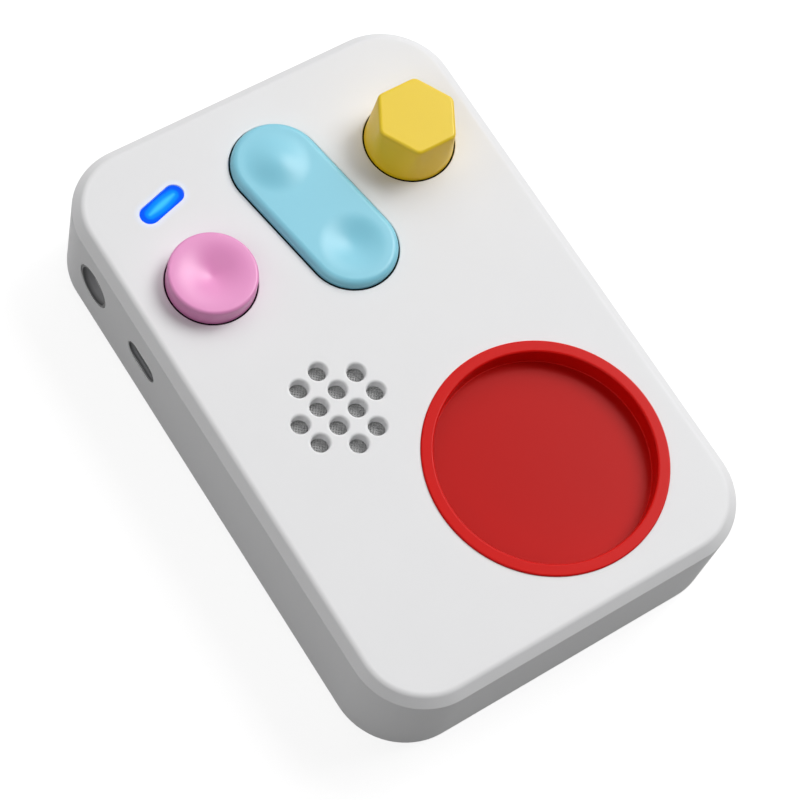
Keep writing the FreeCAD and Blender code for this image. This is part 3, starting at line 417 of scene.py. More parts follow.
def base_ring(x, y, radius):
    """Ring maker of the knob's round base, with points under those of the six-sided top."""
    side_turn = math.tau / KNOB_SIDES
    arc = 2 * KNOB_CORNER_SPREAD
    side = side_turn - arc

    def ring(out, height):
        size = radius + out
        turns = []
        for index in range(KNOB_SIDES):
            start = index * side_turn - arc / 2
            turns += [start + arc * step / KNOB_CORNER_STEPS for step in range(KNOB_CORNER_STEPS + 1)]
            turns += [start + arc + side * step / KNOB_SIDE_STEPS for step in range(1, KNOB_SIDE_STEPS)]
        return [Vector((x + size * math.cos(a), y + size * math.sin(a), height)) for a in turns]
    return ring


def cross_ring(length_over, width):
    """Ring maker of a cross about the Z axis, with two bars of the given length and width."""
    def ring(out, height):
        far = length_over / 2 + out
        near = width / 2 + out
        quarter = [(far, -near), (far, near), (near, near)]
        points = []
        for index in range(4):
            turned = Matrix.Rotation(index * math.pi / 2, 3, "Z")
            points += [turned @ Vector((x, y, height)) for x, y in quarter]
        return points
    return ring


def threaded_ring(depth, pitch, start, end, count=24):
    """Ring maker of a screw about the Z axis: plain circles, with a thread cut between two heights."""
    def ring(out, height):
        if out < TINY:
            return [Vector((0, 0, height))]
        points = []
        for step in range(count):
            a = math.tau * step / count
            cut = 0.0
            if start < height < end:
                cut = depth * min(1.0, 4 * abs((height / pitch - step / count) % 1.0 - 0.5))
            points.append(Vector(((out - cut) * math.cos(a), (out - cut) * math.sin(a), height)))
        return points
    return ring


def softened(corners, steps=6, margin=0.04 * MM):
    """Profile through (out, height, radius) corners, each rounded.  A narrow margin on the flats beside
    each round keeps their shading level."""
    made = []
    for index, (out, height, radius) in enumerate(corners):
        here = Vector((out, height))
        if not radius:
            made.append(here)
            continue
        back = (Vector(corners[index - 1][:2]) - here).normalized()
        ahead = (Vector(corners[index + 1][:2]) - here).normalized()
        half = back.angle(ahead) / 2
        reach = radius / math.tan(half)
        centre = here + (back + ahead).normalized() * (radius / math.sin(half))
        first = here + back * reach - centre
        last = here + ahead * reach - centre
        sweep = math.pi - 2 * half
        made.append(here + back * (reach + margin))
        for step in range(steps + 1):
            part = step / steps
            along = first * math.sin((1 - part) * sweep) + last * math.sin(part * sweep)
            made.append(centre + along / math.sin(sweep))
        made.append(here + ahead * (reach + margin))
    return [(point.x, point.y) for point in made]


def wave(radius, rim, centre, steps=18, gather=1.0):
    """Profile from the rim to the axis, level at both ends, shaped like half a cosine wave.
    Gather below 1 draws the steep part in towards the axis."""
    made = []
    for step in range(steps + 1):
        part = 1 - step / steps
        drop = (1 + math.cos(math.pi * part ** gather)) / 2
        made.append((radius * part, rim + (centre - rim) * drop))
    return made


# ------------------------------------------------------------------ mesh building
def bridge(bm, first, second, skip=()):
    """Faces between two rings; a ring of one point is a pole."""
    count = max(len(first), len(second))
    for index in range(count):
        following = (index + 1) % count
        if index in skip:
            continue
        if len(first) == 1:
            bm.faces.new((first[0], second[index], second[following]))
        elif len(second) == 1:
            bm.faces.new((first[index], first[following], second[0]))
        else:
            bm.faces.new((first[index], first[following], second[following], second[index]))


def joined(bm, rings, skip=()):
    """Rings of points joined by faces.  Skip holds the faces to leave out, as (ring, its edge)."""
    made = [[bm.verts.new(point) for point in ring] for ring in rings]
    for step, (first, second) in enumerate(zip(made, made[1:])):
        bridge(bm, first, second, [edge for at, edge in skip if at == step])
    return made


def loft(bm, ring, profile, skip=()):
    """Rings of the given maker along a profile, joined by faces."""
    return joined(bm, [ring(out, height) for out, height in profile], skip)


def fill(bm, *rings):
    """Flat face between an outer ring and the rings of its holes."""
    edges = []
    for ring in rings:
        for start, end in zip(ring, ring[1:] + ring[:1]):
            edges.append(bm.edges.get((start, end)) or bm.edges.new((start, end)))
    bmesh.ops.triangle_fill(bm, use_beauty=True, use_dissolve=False, edges=edges)


def capped(bm, rings):
    """Flat faces over the first and the last of joined rings."""
    fill(bm, rings[0])
    fill(bm, rings[-1])


def second_material(bm, top, bottom=-math.inf):
    """Gives the faces between two heights the piece's second material."""
    for face in bm.faces:
        heights = [vert.co.z for vert in face.verts]
        if bottom - STEP_SLACK <= min(heights) and max(heights) <= top + STEP_SLACK:
            face.material_index = 1


def finished(bm, name, materials, body, node):
    """Turns a closed bmesh into such a piece, with its faces outwards."""
    bmesh.ops.recalc_face_normals(bm, faces=bm.faces)
    mesh = bpy.data.meshes.new(name)
    bm.to_mesh(mesh)
    bm.free()
    for material in materials:
        mesh.materials.append(material)
    return dressed(mesh, name, body, node)


def dressed(mesh, name, body, node):
    """Makes a mesh a smooth-shaded piece that rides on a body, and hides the CAD node that it takes the place
    of.
    """
    mesh.shade_smooth()
    mesh.set_sharp_from_angle(angle=SMOOTH_ANGLE)
    piece = bpy.data.objects.new(name, mesh)
    bpy.context.scene.collection.objects.link(piece)
    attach(piece, body)
    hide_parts(node)
    return piece


# ------------------------------------------------------------------ materials
def add(tree, kind, links=None, **settings):
    """Adds a node: settings are its own attributes, links are values or sockets for its inputs."""
    made = tree.nodes.new(kind)
    for name, value in settings.items():
        setattr(made, name, value)
    for name, value in (links or {}).items():
        if isinstance(value, bpy.types.NodeSocket):
            tree.links.new(value, made.inputs[name])
        else:
            made.inputs[name].default_value = value
    return made


def new_material(name):
    """Empty node material: the material, its tree and its Object coordinates."""
    material = bpy.data.materials.new(name)
    material.use_nodes = True
    tree = material.node_tree
    tree.nodes.clear()
    place = add(tree, "ShaderNodeTexCoord").outputs["Object"]
    return material, tree, place


def shade(rgb, level=1.0):
    """Opaque colour for a node, darker or lighter by a factor."""
    return (*[min(1.0, part * level) for part in rgb], 1.0)


def moulded_plastic(
        name, rgb, roughness, grain=0.35 * MM, relief=0.012 * MM, spread=0.03, gloss=0.5, glow=None,
        sides=None):
    """Injection-moulded plastic: an even colour that drifts very slightly, and a spark-eroded grain that
    breaks up the highlights.  The real grain is finer, and is drawn as coarse as it needs to show.  Glow
    makes the emission's inputs.  Sides is a second colour and the height that it fades out at: below that
    height the colour turns into the second one, a paler and warmer painted light that stands for the bounce
    light on a part's sides."""
    material, tree, place = new_material(name)
    drift = add(tree, "ShaderNodeTexNoise", {"Vector": place, "Scale": 1 / (18 * MM), "Detail": 2.0})
    tint = add(tree, "ShaderNodeMix", {
        "Factor": drift.outputs["Fac"], "A": shade(rgb, 1 - spread), "B": shade(rgb, 1 + spread),
    }, data_type="RGBA")
    # Painted light: below the given height the sides fade into a paler, warmer colour, as painted bounce
    # light.
    if sides:
        deep, top = sides
        height = add(tree, "ShaderNodeSeparateXYZ", {"Vector": place}).outputs["Z"]
        fade = 0.8 * MM  # height over which the second colour turns into the first
        side_light_fade = add(tree, "ShaderNodeMapRange", {"Value": height, "From Min": top - fade, "From Max": top})
        tint = add(tree, "ShaderNodeMix", {
            "Factor": side_light_fade.outputs["Result"], "A": shade(deep), "B": tint.outputs["Result"],
        }, data_type="RGBA")
    pits = add(tree, "ShaderNodeTexNoise", {
        "Vector": place, "Scale": 1 / grain, "Detail": 3.0, "Roughness": 0.6})
    polish = add(tree, "ShaderNodeMapRange", {
        "Value": pits.outputs["Fac"], "From Min": 0.3, "From Max": 0.7,
        "To Min": roughness - 0.03, "To Max": roughness + 0.05})
    bump = add(tree, "ShaderNodeBump", {"Height": pits.outputs["Fac"], "Strength": 0.35, "Distance": relief})
    links = {
        "Base Color": tint.outputs["Result"], "Roughness": polish.outputs["Result"], "IOR": 1.5,
        "Specular IOR Level": gloss, "Normal": bump.outputs["Normal"]}
    if glow:
        links.update(glow(tree, place))
    plastic = add(tree, "ShaderNodeBsdfPrincipled", links)
    add(tree, "ShaderNodeOutputMaterial", {"Surface": plastic.outputs[0]})
    return material


def painted_gap_shade():
    """Painted shade: near black on the hidden lower part of a cap, so that the gap round the cap looks dark.
    """
    return moulded_plastic("painted_gap_shade_black", linear("0e0e0f"), roughness=0.7, gloss=0.2)


def pill_distance(tree, place, light):
    """Distance of a point from the middle line of the status light's window, and its place as seen from
    the window's middle, along and across it."""
    local = add(tree, "ShaderNodeMapping", {
        "Vector": place, "Location": (light_place.x, light_place.y, face_z), "Rotation": (0, 0, light.lean),
    }, vector_type="TEXTURE")
    parts = add(tree, "ShaderNodeSeparateXYZ", {"Vector": local.outputs["Vector"]})
    along = add(tree, "ShaderNodeMath", {0: parts.outputs["X"]}, operation="ABSOLUTE")
    beyond = add(tree, "ShaderNodeMath", {0: along.outputs[0], 1: light.half_pitch}, operation="SUBTRACT")
    past = add(tree, "ShaderNodeMath", {0: beyond.outputs[0], 1: 0.0}, operation="MAXIMUM")
    flat = add(tree, "ShaderNodeCombineXYZ", {"X": past.outputs[0], "Y": parts.outputs["Y"]})
    distance = add(tree, "ShaderNodeVectorMath", {0: flat.outputs[0]}, operation="LENGTH")
    return distance.outputs["Value"], parts


def halo_on_case(tree, place):
    """Faint blue light that the status lamp throws on the case round its window."""
    light = bpy.context.scene.player_light
    distance, _ = pill_distance(tree, place, light)
    fade = add(tree, "ShaderNodeMapRange", {
        "Value": distance, "From Min": light.radius, "From Max": light.radius + light.halo,
        "To Min": light.halo_glow, "To Max": 0.0}, interpolation_type="SMOOTHSTEP")
    return {"Emission Color": shade(light.halo_shade), "Emission Strength": fade.outputs["Result"]}


def glowing_window(name, light):
    """Clear polycarbonate lit from behind: pale in the middle, where the lamp is, and deep blue at the
    edge.  The place on the colour ramp is the distance from the window's middle line as a share of its
    radius, and grows with the square of the distance along the window."""
    material, tree, place = new_material(name)
    distance, parts = pill_distance(tree, place, light)
    across = add(tree, "ShaderNodeMath", {0: distance, 1: light.radius}, operation="DIVIDE")
    along = add(tree, "ShaderNodeMath", {0: parts.outputs["X"], 1: light.lamp_reach}, operation="DIVIDE")
    along = add(tree, "ShaderNodeMath", {0: along.outputs[0], 1: 2.0}, operation="POWER")
    reach = add(tree, "ShaderNodeMath", {
        0: along.outputs[0], 1: light.lamp_fade, 2: across.outputs[0]}, operation="MULTIPLY_ADD")
    ramp = add(tree, "ShaderNodeValToRGB", {"Fac": reach.outputs[0]})
    ramp.color_ramp.interpolation = "EASE"
    stops = ramp.color_ramp.elements
    stops.new(0.5)
    for stop, (position, rgb) in zip(stops, ((0.05, light.core), (0.5, light.between), (0.95, light.edge))):
        stop.position = position
        stop.color = shade(rgb)
    clear = add(tree, "ShaderNodeBsdfPrincipled", {
        "Base Color": shade(light.body), "Roughness": 0.25, "IOR": 1.58, "Specular IOR Level": 0.03,
        "Emission Color": ramp.outputs["Color"], "Emission Strength": light.glow})
    add(tree, "ShaderNodeOutputMaterial", {"Surface": clear.outputs[0]})
    return material


def socket_nylon_painted_light(name, sockets):
    """Moulded nylon collar: dark grey at the mouth, and painted paler on the inner walls behind it, as
    painted light that lifts the shade inside the hole.  The real grain is finer, and is drawn as coarse as it
    needs to show."""
    material, tree, place = new_material(name)
    parts = add(tree, "ShaderNodeSeparateXYZ", {"Vector": place})
    depth = add(tree, "ShaderNodeMapRange", {
        "Value": parts.outputs["X"], "From Min": case_low.x + sockets.rim_deep,
        "From Max": case_low.x + sockets.painted_light_deep})
    tint = add(tree, "ShaderNodeMix", {
        "Factor": depth.outputs["Result"], "A": shade(sockets.shade), "B": shade(sockets.inside),
    }, data_type="RGBA")
    pits = add(tree, "ShaderNodeTexNoise", {"Vector": place, "Scale": 1 / (0.35 * MM), "Detail": 3.0})
    bump = add(tree, "ShaderNodeBump", {
        "Height": pits.outputs["Fac"], "Strength": 0.35, "Distance": 0.012 * MM})
    nylon = add(tree, "ShaderNodeBsdfPrincipled", {
        "Base Color": tint.outputs["Result"], "Roughness": 0.55, "Normal": bump.outputs["Normal"]})
    add(tree, "ShaderNodeOutputMaterial", {"Surface": nylon.outputs[0]})
    return material


def metal(name, rgb, roughness, scratch=0.08 * MM):
    """Bare or plated metal with an uneven polish, which is drawn coarser than the real one to show."""
    material, tree, place = new_material(name)
    rub = add(tree, "ShaderNodeTexNoise", {"Vector": place, "Scale": 1 / scratch, "Detail": 4.0})
    tint = add(tree, "ShaderNodeMix", {
        "Factor": rub.outputs["Fac"], "A": shade(rgb, 0.85), "B": shade(rgb)}, data_type="RGBA")
    polish = add(tree, "ShaderNodeMapRange", {
        "Value": rub.outputs["Fac"], "To Min": roughness - 0.08, "To Max": roughness + 0.1})
    bump = add(tree, "ShaderNodeBump", {
        "Height": rub.outputs["Fac"], "Strength": 0.2, "Distance": 0.005 * MM})
    bare = add(tree, "ShaderNodeBsdfPrincipled", {
        "Base Color": tint.outputs["Result"], "Metallic": 1.0, "Roughness": polish.outputs["Result"],
        "Normal": bump.outputs["Normal"]})
    add(tree, "ShaderNodeOutputMaterial", {"Surface": bare.outputs[0]})
    return material


def pressed_paper(name, rgb):
    """Fibrous black paper or foam: matt, with an uneven relief.  Real fibres are finer, and are drawn as
    coarse as they need to show."""
    material, tree, place = new_material(name)
    fibre = add(tree, "ShaderNodeTexNoise", {
        "Vector": place, "Scale": 1 / (0.3 * MM), "Detail": 6.0, "Distortion": 0.6})
    tint = add(tree, "ShaderNodeMix", {
        "Factor": fibre.outputs["Fac"], "A": shade(rgb, 0.6), "B": shade(rgb)}, data_type="RGBA")
    bump = add(tree, "ShaderNodeBump", {
        "Height": fibre.outputs["Fac"], "Strength": 0.6, "Distance": 0.05 * MM})
    felt = add(tree, "ShaderNodeBsdfPrincipled", {
        "Base Color": tint.outputs["Result"], "Roughness": 0.92, "Normal": bump.outputs["Normal"]})
    add(tree, "ShaderNodeOutputMaterial", {"Surface": felt.outputs[0]})
    return material


def woven_polyester(name, rgb):
    """Dyed polyester thread: dull, with filaments that catch a little sheen.  Real filaments are finer,
    and are drawn as coarse as they need to show."""
    material, tree, place = new_material(name)
    strand = add(tree, "ShaderNodeTexNoise", {"Vector": place, "Scale": 1 / (0.12 * MM), "Detail": 3.0})
    tint = add(tree, "ShaderNodeMix", {
        "Factor": strand.outputs["Fac"], "A": shade(rgb, 0.8), "B": shade(rgb, 1.15)}, data_type="RGBA")
    thread = add(tree, "ShaderNodeBsdfPrincipled", {
        "Base Color": tint.outputs["Result"], "Roughness": 0.75, "Sheen Weight": 0.3, "Sheen Roughness": 0.4})
    add(tree, "ShaderNodeOutputMaterial", {"Surface": thread.outputs[0]})
    return material


def solder_mask(name):
    """Glass-epoxy board under green solder mask, with the copper tracks showing through."""
    material, tree, place = new_material(name)
    cells = add(tree, "ShaderNodeTexVoronoi", {
        "Vector": place, "Scale": 1 / (2.4 * MM)}, distance="CHEBYCHEV")
    tracks = add(tree, "ShaderNodeMapRange", {
        "Value": cells.outputs["Distance"], "From Min": 0.42, "From Max": 0.5})
    tint = add(tree, "ShaderNodeMix", {
        "Factor": tracks.outputs["Result"], "A": shade(linear("0d5a34")), "B": shade(linear("177a47")),
    }, data_type="RGBA")
    bump = add(tree, "ShaderNodeBump", {
        "Height": tracks.outputs["Result"], "Strength": 0.4, "Distance": 0.03 * MM})
    mask = add(tree, "ShaderNodeBsdfPrincipled", {
        "Base Color": tint.outputs["Result"], "Roughness": 0.32, "IOR": 1.55,
        "Normal": bump.outputs["Normal"]})
    add(tree, "ShaderNodeOutputMaterial", {"Surface": mask.outputs[0]})
    return material


# ------------------------------------------------------------------ geometry nodes
STEPS_PER_THREAD = 4.0  # points along a thread, for each thread that it crosses
THREAD_SIDES = 5


def new_tree(name, inputs):
    """Geometry Nodes tree with a geometry input and output and the named inputs, as (socket type, name)."""
    tree = bpy.data.node_groups.new(name, "GeometryNodeTree")
    tree.interface.new_socket("Geometry", in_out="INPUT", socket_type="NodeSocketGeometry")
    for kind, label in inputs:
        tree.interface.new_socket(label, in_out="INPUT", socket_type=kind)
    tree.interface.new_socket("Geometry", in_out="OUTPUT", socket_type="NodeSocketGeometry")
    return tree, add(tree, "NodeGroupInput")


def end_tree(tree, source, geometry):
    """Realize Instances, Set Material and the tree's output."""
    real = add(tree, "GeometryNodeRealizeInstances", {"Geometry": geometry})
    coloured = add(tree, "GeometryNodeSetMaterial", {
        "Geometry": real.outputs[0], "Material": source.outputs["Material"]})
    add(tree, "NodeGroupOutput", {"Geometry": coloured.outputs[0]})


def grown(tree, start, values):
    """Plain mesh that the tree makes from a starting mesh with the given values for its inputs.  Its
    one material takes the place of the empty slots that the starting mesh leaves."""
    carrier = bpy.data.objects.new("carrier", start)
    bpy.context.scene.collection.objects.link(carrier)
    modifier = carrier.modifiers.new("Nodes", "NODES")
    modifier.node_group = tree
    for item in tree.interface.items_tree:
        if item.in_out == "INPUT" and item.name in values:
            modifier[item.identifier] = values[item.name]
    graph = bpy.context.evaluated_depsgraph_get()
    graph.update()
    mesh = bpy.data.meshes.new_from_object(carrier.evaluated_get(graph), depsgraph=graph)
    carrier.modifiers.clear()
    bpy.data.objects.remove(carrier)
    for face in mesh.polygons:
        face.material_index = 0
    mesh.materials.clear()
    mesh.materials.append(values["Material"])
    return mesh


def repeat_tree():
    """Copies of one object at the vertices of the starting mesh."""
    tree, source = new_tree("repeat_at_points", [
        ("NodeSocketObject", "Piece"), ("NodeSocketMaterial", "Material")])
    piece = add(tree, "GeometryNodeObjectInfo", {"Object": source.outputs["Piece"]})
    placed = add(tree, "GeometryNodeInstanceOnPoints", {
        "Points": source.outputs["Geometry"], "Instance": piece.outputs["Geometry"]})
    end_tree(tree, source, placed.outputs["Instances"])
    return tree


def repeated(bm, places, material):
    """Plain mesh with copies of a closed bmesh at the given places."""
    bmesh.ops.recalc_face_normals(bm, faces=bm.faces)
    mesh = bpy.data.meshes.new("one")
    bm.to_mesh(mesh)
    bm.free()
    one = bpy.data.objects.new("one", mesh)
    bpy.context.scene.collection.objects.link(one)
    points = bpy.data.meshes.new("places")
    points.from_pydata(places, [], [])
    made = grown(repeat_tree(), points, {"Piece": one, "Material": material})
    bpy.data.objects.remove(one)
    return made


def weave_tree():
    """Round cloth of crossing threads: each thread is a sine wave, over one neighbour and under the next.
    The second layer is the first one turned over and across, which puts its crests in the first's troughs."""
    tree, source = new_tree("woven_disc", [
        ("NodeSocketFloat", "Radius"), ("NodeSocketFloat", "Pitch"), ("NodeSocketFloat", "Thread Radius"),
        ("NodeSocketFloat", "Wave"), ("NodeSocketInt", "Threads"), ("NodeSocketMaterial", "Material")])
    give = source.outputs
    half = add(tree, "ShaderNodeMath", {0: give["Threads"], 1: 2.0}, operation="DIVIDE")
    span = add(tree, "ShaderNodeMath", {0: half.outputs[0], 1: give["Pitch"]}, operation="MULTIPLY")
    back = add(tree, "ShaderNodeMath", {0: span.outputs[0], 1: -1.0}, operation="MULTIPLY")
    steps = add(tree, "ShaderNodeMath", {0: give["Threads"], 1: STEPS_PER_THREAD}, operation="MULTIPLY")

    # one thread along X, copied at each pitch along Y
    low = add(tree, "ShaderNodeCombineXYZ", {"X": back.outputs[0]})
    high = add(tree, "ShaderNodeCombineXYZ", {"X": span.outputs[0]})
    line = add(tree, "GeometryNodeCurvePrimitiveLine", {"Start": low.outputs[0], "End": high.outputs[0]})
    fine = add(tree, "GeometryNodeResampleCurve", {"Curve": line.outputs[0], "Count": steps.outputs[0]})
    first = add(tree, "ShaderNodeCombineXYZ", {"Y": back.outputs[0]})
    stride = add(tree, "ShaderNodeCombineXYZ", {"Y": give["Pitch"]})
    row = add(tree, "GeometryNodeMeshLine", {
        "Count": give["Threads"], "Start Location": first.outputs[0], "Offset": stride.outputs[0]})
    placed = add(tree, "GeometryNodeInstanceOnPoints", {
        "Points": row.outputs[0], "Instance": fine.outputs[0]})
    real = add(tree, "GeometryNodeRealizeInstances", {"Geometry": placed.outputs[0]})

    # the wave, shifted by half its length from one thread to the next
    where = add(tree, "GeometryNodeInputPosition")
    parts = add(tree, "ShaderNodeSeparateXYZ", {"Vector": where.outputs[0]})
    slant = add(tree, "ShaderNodeMath", {0: parts.outputs["X"], 1: parts.outputs["Y"]}, operation="ADD")
    angle = add(tree, "ShaderNodeMath", {0: math.pi, 1: give["Pitch"]}, operation="DIVIDE")
    phase = add(tree, "ShaderNodeMath", {0: slant.outputs[0], 1: angle.outputs[0]}, operation="MULTIPLY")
    swing = add(tree, "ShaderNodeMath", {0: phase.outputs[0]}, operation="COSINE")
    lift = add(tree, "ShaderNodeMath", {0: swing.outputs[0], 1: give["Wave"]}, operation="MULTIPLY")
    offset = add(tree, "ShaderNodeCombineXYZ", {"Z": lift.outputs[0]})
    waved = add(tree, "GeometryNodeSetPosition", {"Geometry": real.outputs[0], "Offset": offset.outputs[0]})

    # the round cut, and the thread's own thickness
    distance = add(tree, "ShaderNodeVectorMath", {0: where.outputs[0]}, operation="LENGTH")
    outside = add(tree, "ShaderNodeMath", {
        0: distance.outputs["Value"], 1: give["Radius"]}, operation="GREATER_THAN")
    trimmed = add(tree, "GeometryNodeDeleteGeometry", {
        "Geometry": waved.outputs[0], "Selection": outside.outputs[0]})
    section = add(tree, "GeometryNodeCurvePrimitiveCircle", {
        "Resolution": THREAD_SIDES, "Radius": give["Thread Radius"]})
    thread = add(tree, "GeometryNodeCurveToMesh", {
        "Curve": trimmed.outputs[0], "Profile Curve": section.outputs[0], "Fill Caps": True})

    layers = add(tree, "GeometryNodeJoinGeometry")
    for over in ((0, 0, 0), (math.pi, 0, math.pi / 2)):
        spun = add(tree, "GeometryNodeTransform", {"Geometry": thread.outputs[0], "Rotation": over})
        tree.links.new(spun.outputs[0], layers.inputs[0])
    end_tree(tree, source, layers.outputs[0])
    return tree


# ------------------------------------------------------------------ pieces
def grille_holes(grille):
    """Centres of the sound holes: a square grid of four rows without its corners."""
    rows = 4
    holes = []
    for row in range(rows):
        for column in range(rows):
            if row in (0, rows - 1) and column in (0, rows - 1):
                continue
            u = (column - (rows - 1) / 2) * grille.pitch
            v = (row - (rows - 1) / 2) * grille.pitch
            holes.append(turned_place(grille_place.x, grille_place.y, u, v, grille.lean))
    return holes


def case_bmesh(scene):
    """Face and side walls as one closed shell with every opening.  The long left side is one flat face
    inside and one outside, left out of the loft and filled round the mouths of its two holes."""
    case = scene.player_case
    under = face_z - case.wall
    cover_top = case_low.z + case.cover
    bm = bmesh.new()
    inner = [
        (-case.wall, under), (-case.wall, cover_top), (case.seat - case.wall, cover_top),
        (case.seat - case.wall, case_low.z)]
    outer = softened([
        (-case.foot_chamfer, case_low.z, 0), (0, case_low.z + case.foot_chamfer, case.foot_blend),
        (0, face_z - case.chamfer_down, case.crest), (-case.chamfer_in, face_z, case.blend),
        (-case.chamfer_in - case.blend, face_z, 0)], steps=8)
    profile = inner + outer
    rises = [above[1] - below[1] for below, above in zip(profile, profile[1:])]
    wall_step = rises.index(max(rises[len(inner):]))
    left = 2 * CORNER_STEPS + 1
    rings = loft(bm, case_ring(case), profile, [(0, left), (wall_step, left)])
    down = openings(bm, scene, under)
    sideways = side_openings(bm, scene)
    fill(bm, rings[-1], *[tunnel[0] for tunnel in down])
    fill(bm, rings[0], *[tunnel[-1] for tunnel in down])
    after = (left + 1) % len(rings[0])
    for step, end in ((wall_step, 0), (0, -1)):
        quad = [rings[step][left], rings[step][after], rings[step + 1][after], rings[step + 1][left]]
        fill(bm, quad, *[tunnel[end] for tunnel in sideways])
    return bm


def openings(bm, scene, under):
    """Tunnels through the face for the controls, the light, the dish and the sound.  Those of the controls
    have the case's second material, a near black that is painted shade in the gaps round the controls.  Each
    profile starts on a level ring round the mouth."""
    case = scene.player_case
    play = scene.player_play
    knob = scene.player_knob
    rocker = scene.player_rocker
    light = scene.player_light
    dish = scene.player_dish
    grille = scene.player_grille
    level = 3 * case.mouth
    light_level = 0.3 * MM
    sound_level = 1.2 * grille.mouth
    plain = softened([(level, face_z, 0), (0, face_z, case.mouth), (0, under, 0)])
    makers = [
        circle(play_place.x, play_place.y, play.radius + play.gap),
        circle(knob_place.x, knob_place.y, knob.base + knob.gap),
        pill(rocker_place.x, rocker_place.y, rocker.half_pitch, rocker.radius + rocker.gap, rocker.lean),
    ]
    tunnels = [loft(bm, maker, plain) for maker in makers]
    # The walls of the controls' tunnels are painted near black, as painted shade in the gaps.
    for tunnel in tunnels:
        for vert in tunnel[-1]:
            for wall in vert.link_faces:
                wall.material_index = 1
    slim = softened([(light_level, face_z, 0), (0, face_z, light.mouth), (0, under, 0)])
    window = pill(
        light_place.x, light_place.y, light.half_pitch, light.radius + light.gap, light.lean, count=20)
    tunnels.append(loft(bm, window, slim))
    step_in = dish.wall - dish.rim
    seat = softened([
        (level, face_z, 0), (0, face_z, case.dish_mouth), (0, face_z - dish.seat, 0),
        (step_in, face_z - dish.seat, 0), (step_in, under, 0)])
    rim = circle(dish_place.x, dish_place.y, dish.inside + dish.rim + dish.gap, count=DISH_STEPS)
    tunnels.append(loft(bm, rim, seat))
    sound = softened([(sound_level, face_z, 0), (0, face_z, grille.mouth), (0, under, 0)])
    for x, y in grille_holes(grille):
        tunnels.append(loft(bm, circle(x, y, grille.radius, count=40), sound))
    return tunnels


def side_openings(bm, scene):
    """Tunnels through the left wall for the headphone jack and the charging socket."""
    sockets = scene.player_sockets
    left = case_low.x
    inside = left + scene.player_case.wall
    level = 3 * sockets.mouth
    profile = softened([(level, left, 0), (0, left, sockets.mouth), (0, inside, 0)])
    radius = sockets.slot_high / 2
    makers = [
        circle(jack_place.y, jack_place.z, sockets.jack_radius, count=72, place=place_left),
        pill(usb_place.y, usb_place.z, sockets.slot_long / 2 - radius, radius, count=24, place=place_left),
    ]
    return [loft(bm, maker, profile) for maker in makers]


class PLAYER_OT_case(bpy.types.Operator):
    """Build the case: its face and side walls with every opening"""
    bl_idname = "player.case"
    bl_label = "Case"

    def execute(self, context):
        case = context.scene.player_case
        # ABS, injection moulded: even pale grey with a satin sheen and a very fine grain
        abs_case = moulded_plastic(
            "moulded_abs_light_grey", case.shade, roughness=0.45, spread=0.012, gloss=0.2, glow=halo_on_case)
        # Painted shade: near black on the walls of the controls' openings, so that the gaps round the
        # controls look dark
        painted_opening_shade = moulded_plastic("painted_shade_opening_walls", linear("101011"), roughness=0.7, gloss=0.2)
        shell = case_bmesh(context.scene)
        finished(shell, "case_shell", [abs_case, painted_opening_shade], "case", "front_shell")
        return {"FINISHED"}


class PLAYER_OT_dish(bpy.types.Operator):
    """Build the dish that holds a story disc"""
    bl_idname = "player.dish"
    bl_label = "Disc dish"

    def execute(self, context):
        dish = context.scene.player_dish
        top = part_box("disc_dish")[1].z
        floor = top - dish.depth
        under = floor - dish.floor
        cup = dish.inside + dish.wall
        rim = dish.inside + dish.rim
        seat = face_z - dish.seat
        profile = softened([
            (0, under, 0), (cup, under, dish.heel), (cup, seat, 0), (rim, seat, 0), (rim, top, dish.edge),
            (dish.inside, top, dish.brim), (dish.inside, floor, dish.foot), (0, floor, 0)], steps=8)
        bm = bmesh.new()
        loft(bm, circle(dish_place.x, dish_place.y, count=DISH_STEPS), profile)
        # ABS, injection moulded and evenly textured: deep red that stays matt in the recess
        red = moulded_plastic("moulded_abs_red", dish.shade, roughness=0.3, relief=0.006 * MM, gloss=0.12)
        # ABS, injection moulded in a coarser spark-eroded mould: the recess's floor, with painted shade that
        # makes it a shade deeper than the rim
        deep = moulded_plastic(
            "textured_abs_red_painted_shade", dish.recess_floor_painted_shade, roughness=0.32, grain=0.5 * MM, gloss=0.11)
        # The recess's floor gets the red with painted shade.
        second_material(bm, floor, floor)
        finished(bm, "dish_cup", [red, deep], "case", "disc_dish")
        return {"FINISHED"}


class PLAYER_OT_play_button(bpy.types.Operator):
    """Build the play button"""
    bl_idname = "player.play_button"
    bl_label = "Play button"

    def execute(self, context):
        play = context.scene.player_play
        low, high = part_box("play_button")
        top = high.z
        inner = play.radius - play.wall
        outer = play.radius + play.flange
        narrow = play.radius - play.draft
        hollow = narrow - play.edge - play.land
        roof = top - play.hollow - play.wall
        flange_top = face_z - context.scene.player_case.wall - play.flange_gap
        flange_low = flange_top - play.flange_high
        profile = softened([
            (0, low.z, 0), (play.stem, low.z, play.stem_edge), (play.stem, roof, 0), (inner, roof, 0),
            (inner, flange_low, 0), (outer, flange_low, 0), (outer, flange_top, 0),
            (play.radius, flange_top, 0), (play.radius, gap_shade_top, 0), (play.radius, face_z, 0),
            (narrow, top, play.edge), (hollow, top, 0)], steps=8)
        level = 0.02 * MM  # narrow level ring at the hollow's edge
        profile += wave(hollow - level, top, top - play.hollow, steps=22, gather=play.steep)
        bm = bmesh.new()
        loft(bm, circle(play_place.x, play_place.y, count=112), profile)
        # ABS, injection moulded: satin pink, glossier than the case
        pink = moulded_plastic("moulded_abs_pink", play.shade, roughness=0.38, gloss=0.75)
        # Below the face the cap is painted near black, as painted shade in the gap.
        second_material(bm, gap_shade_top)
        finished(bm, "play_cap", [pink, painted_gap_shade()], "play_button", "play_button")
        return {"FINISHED"}


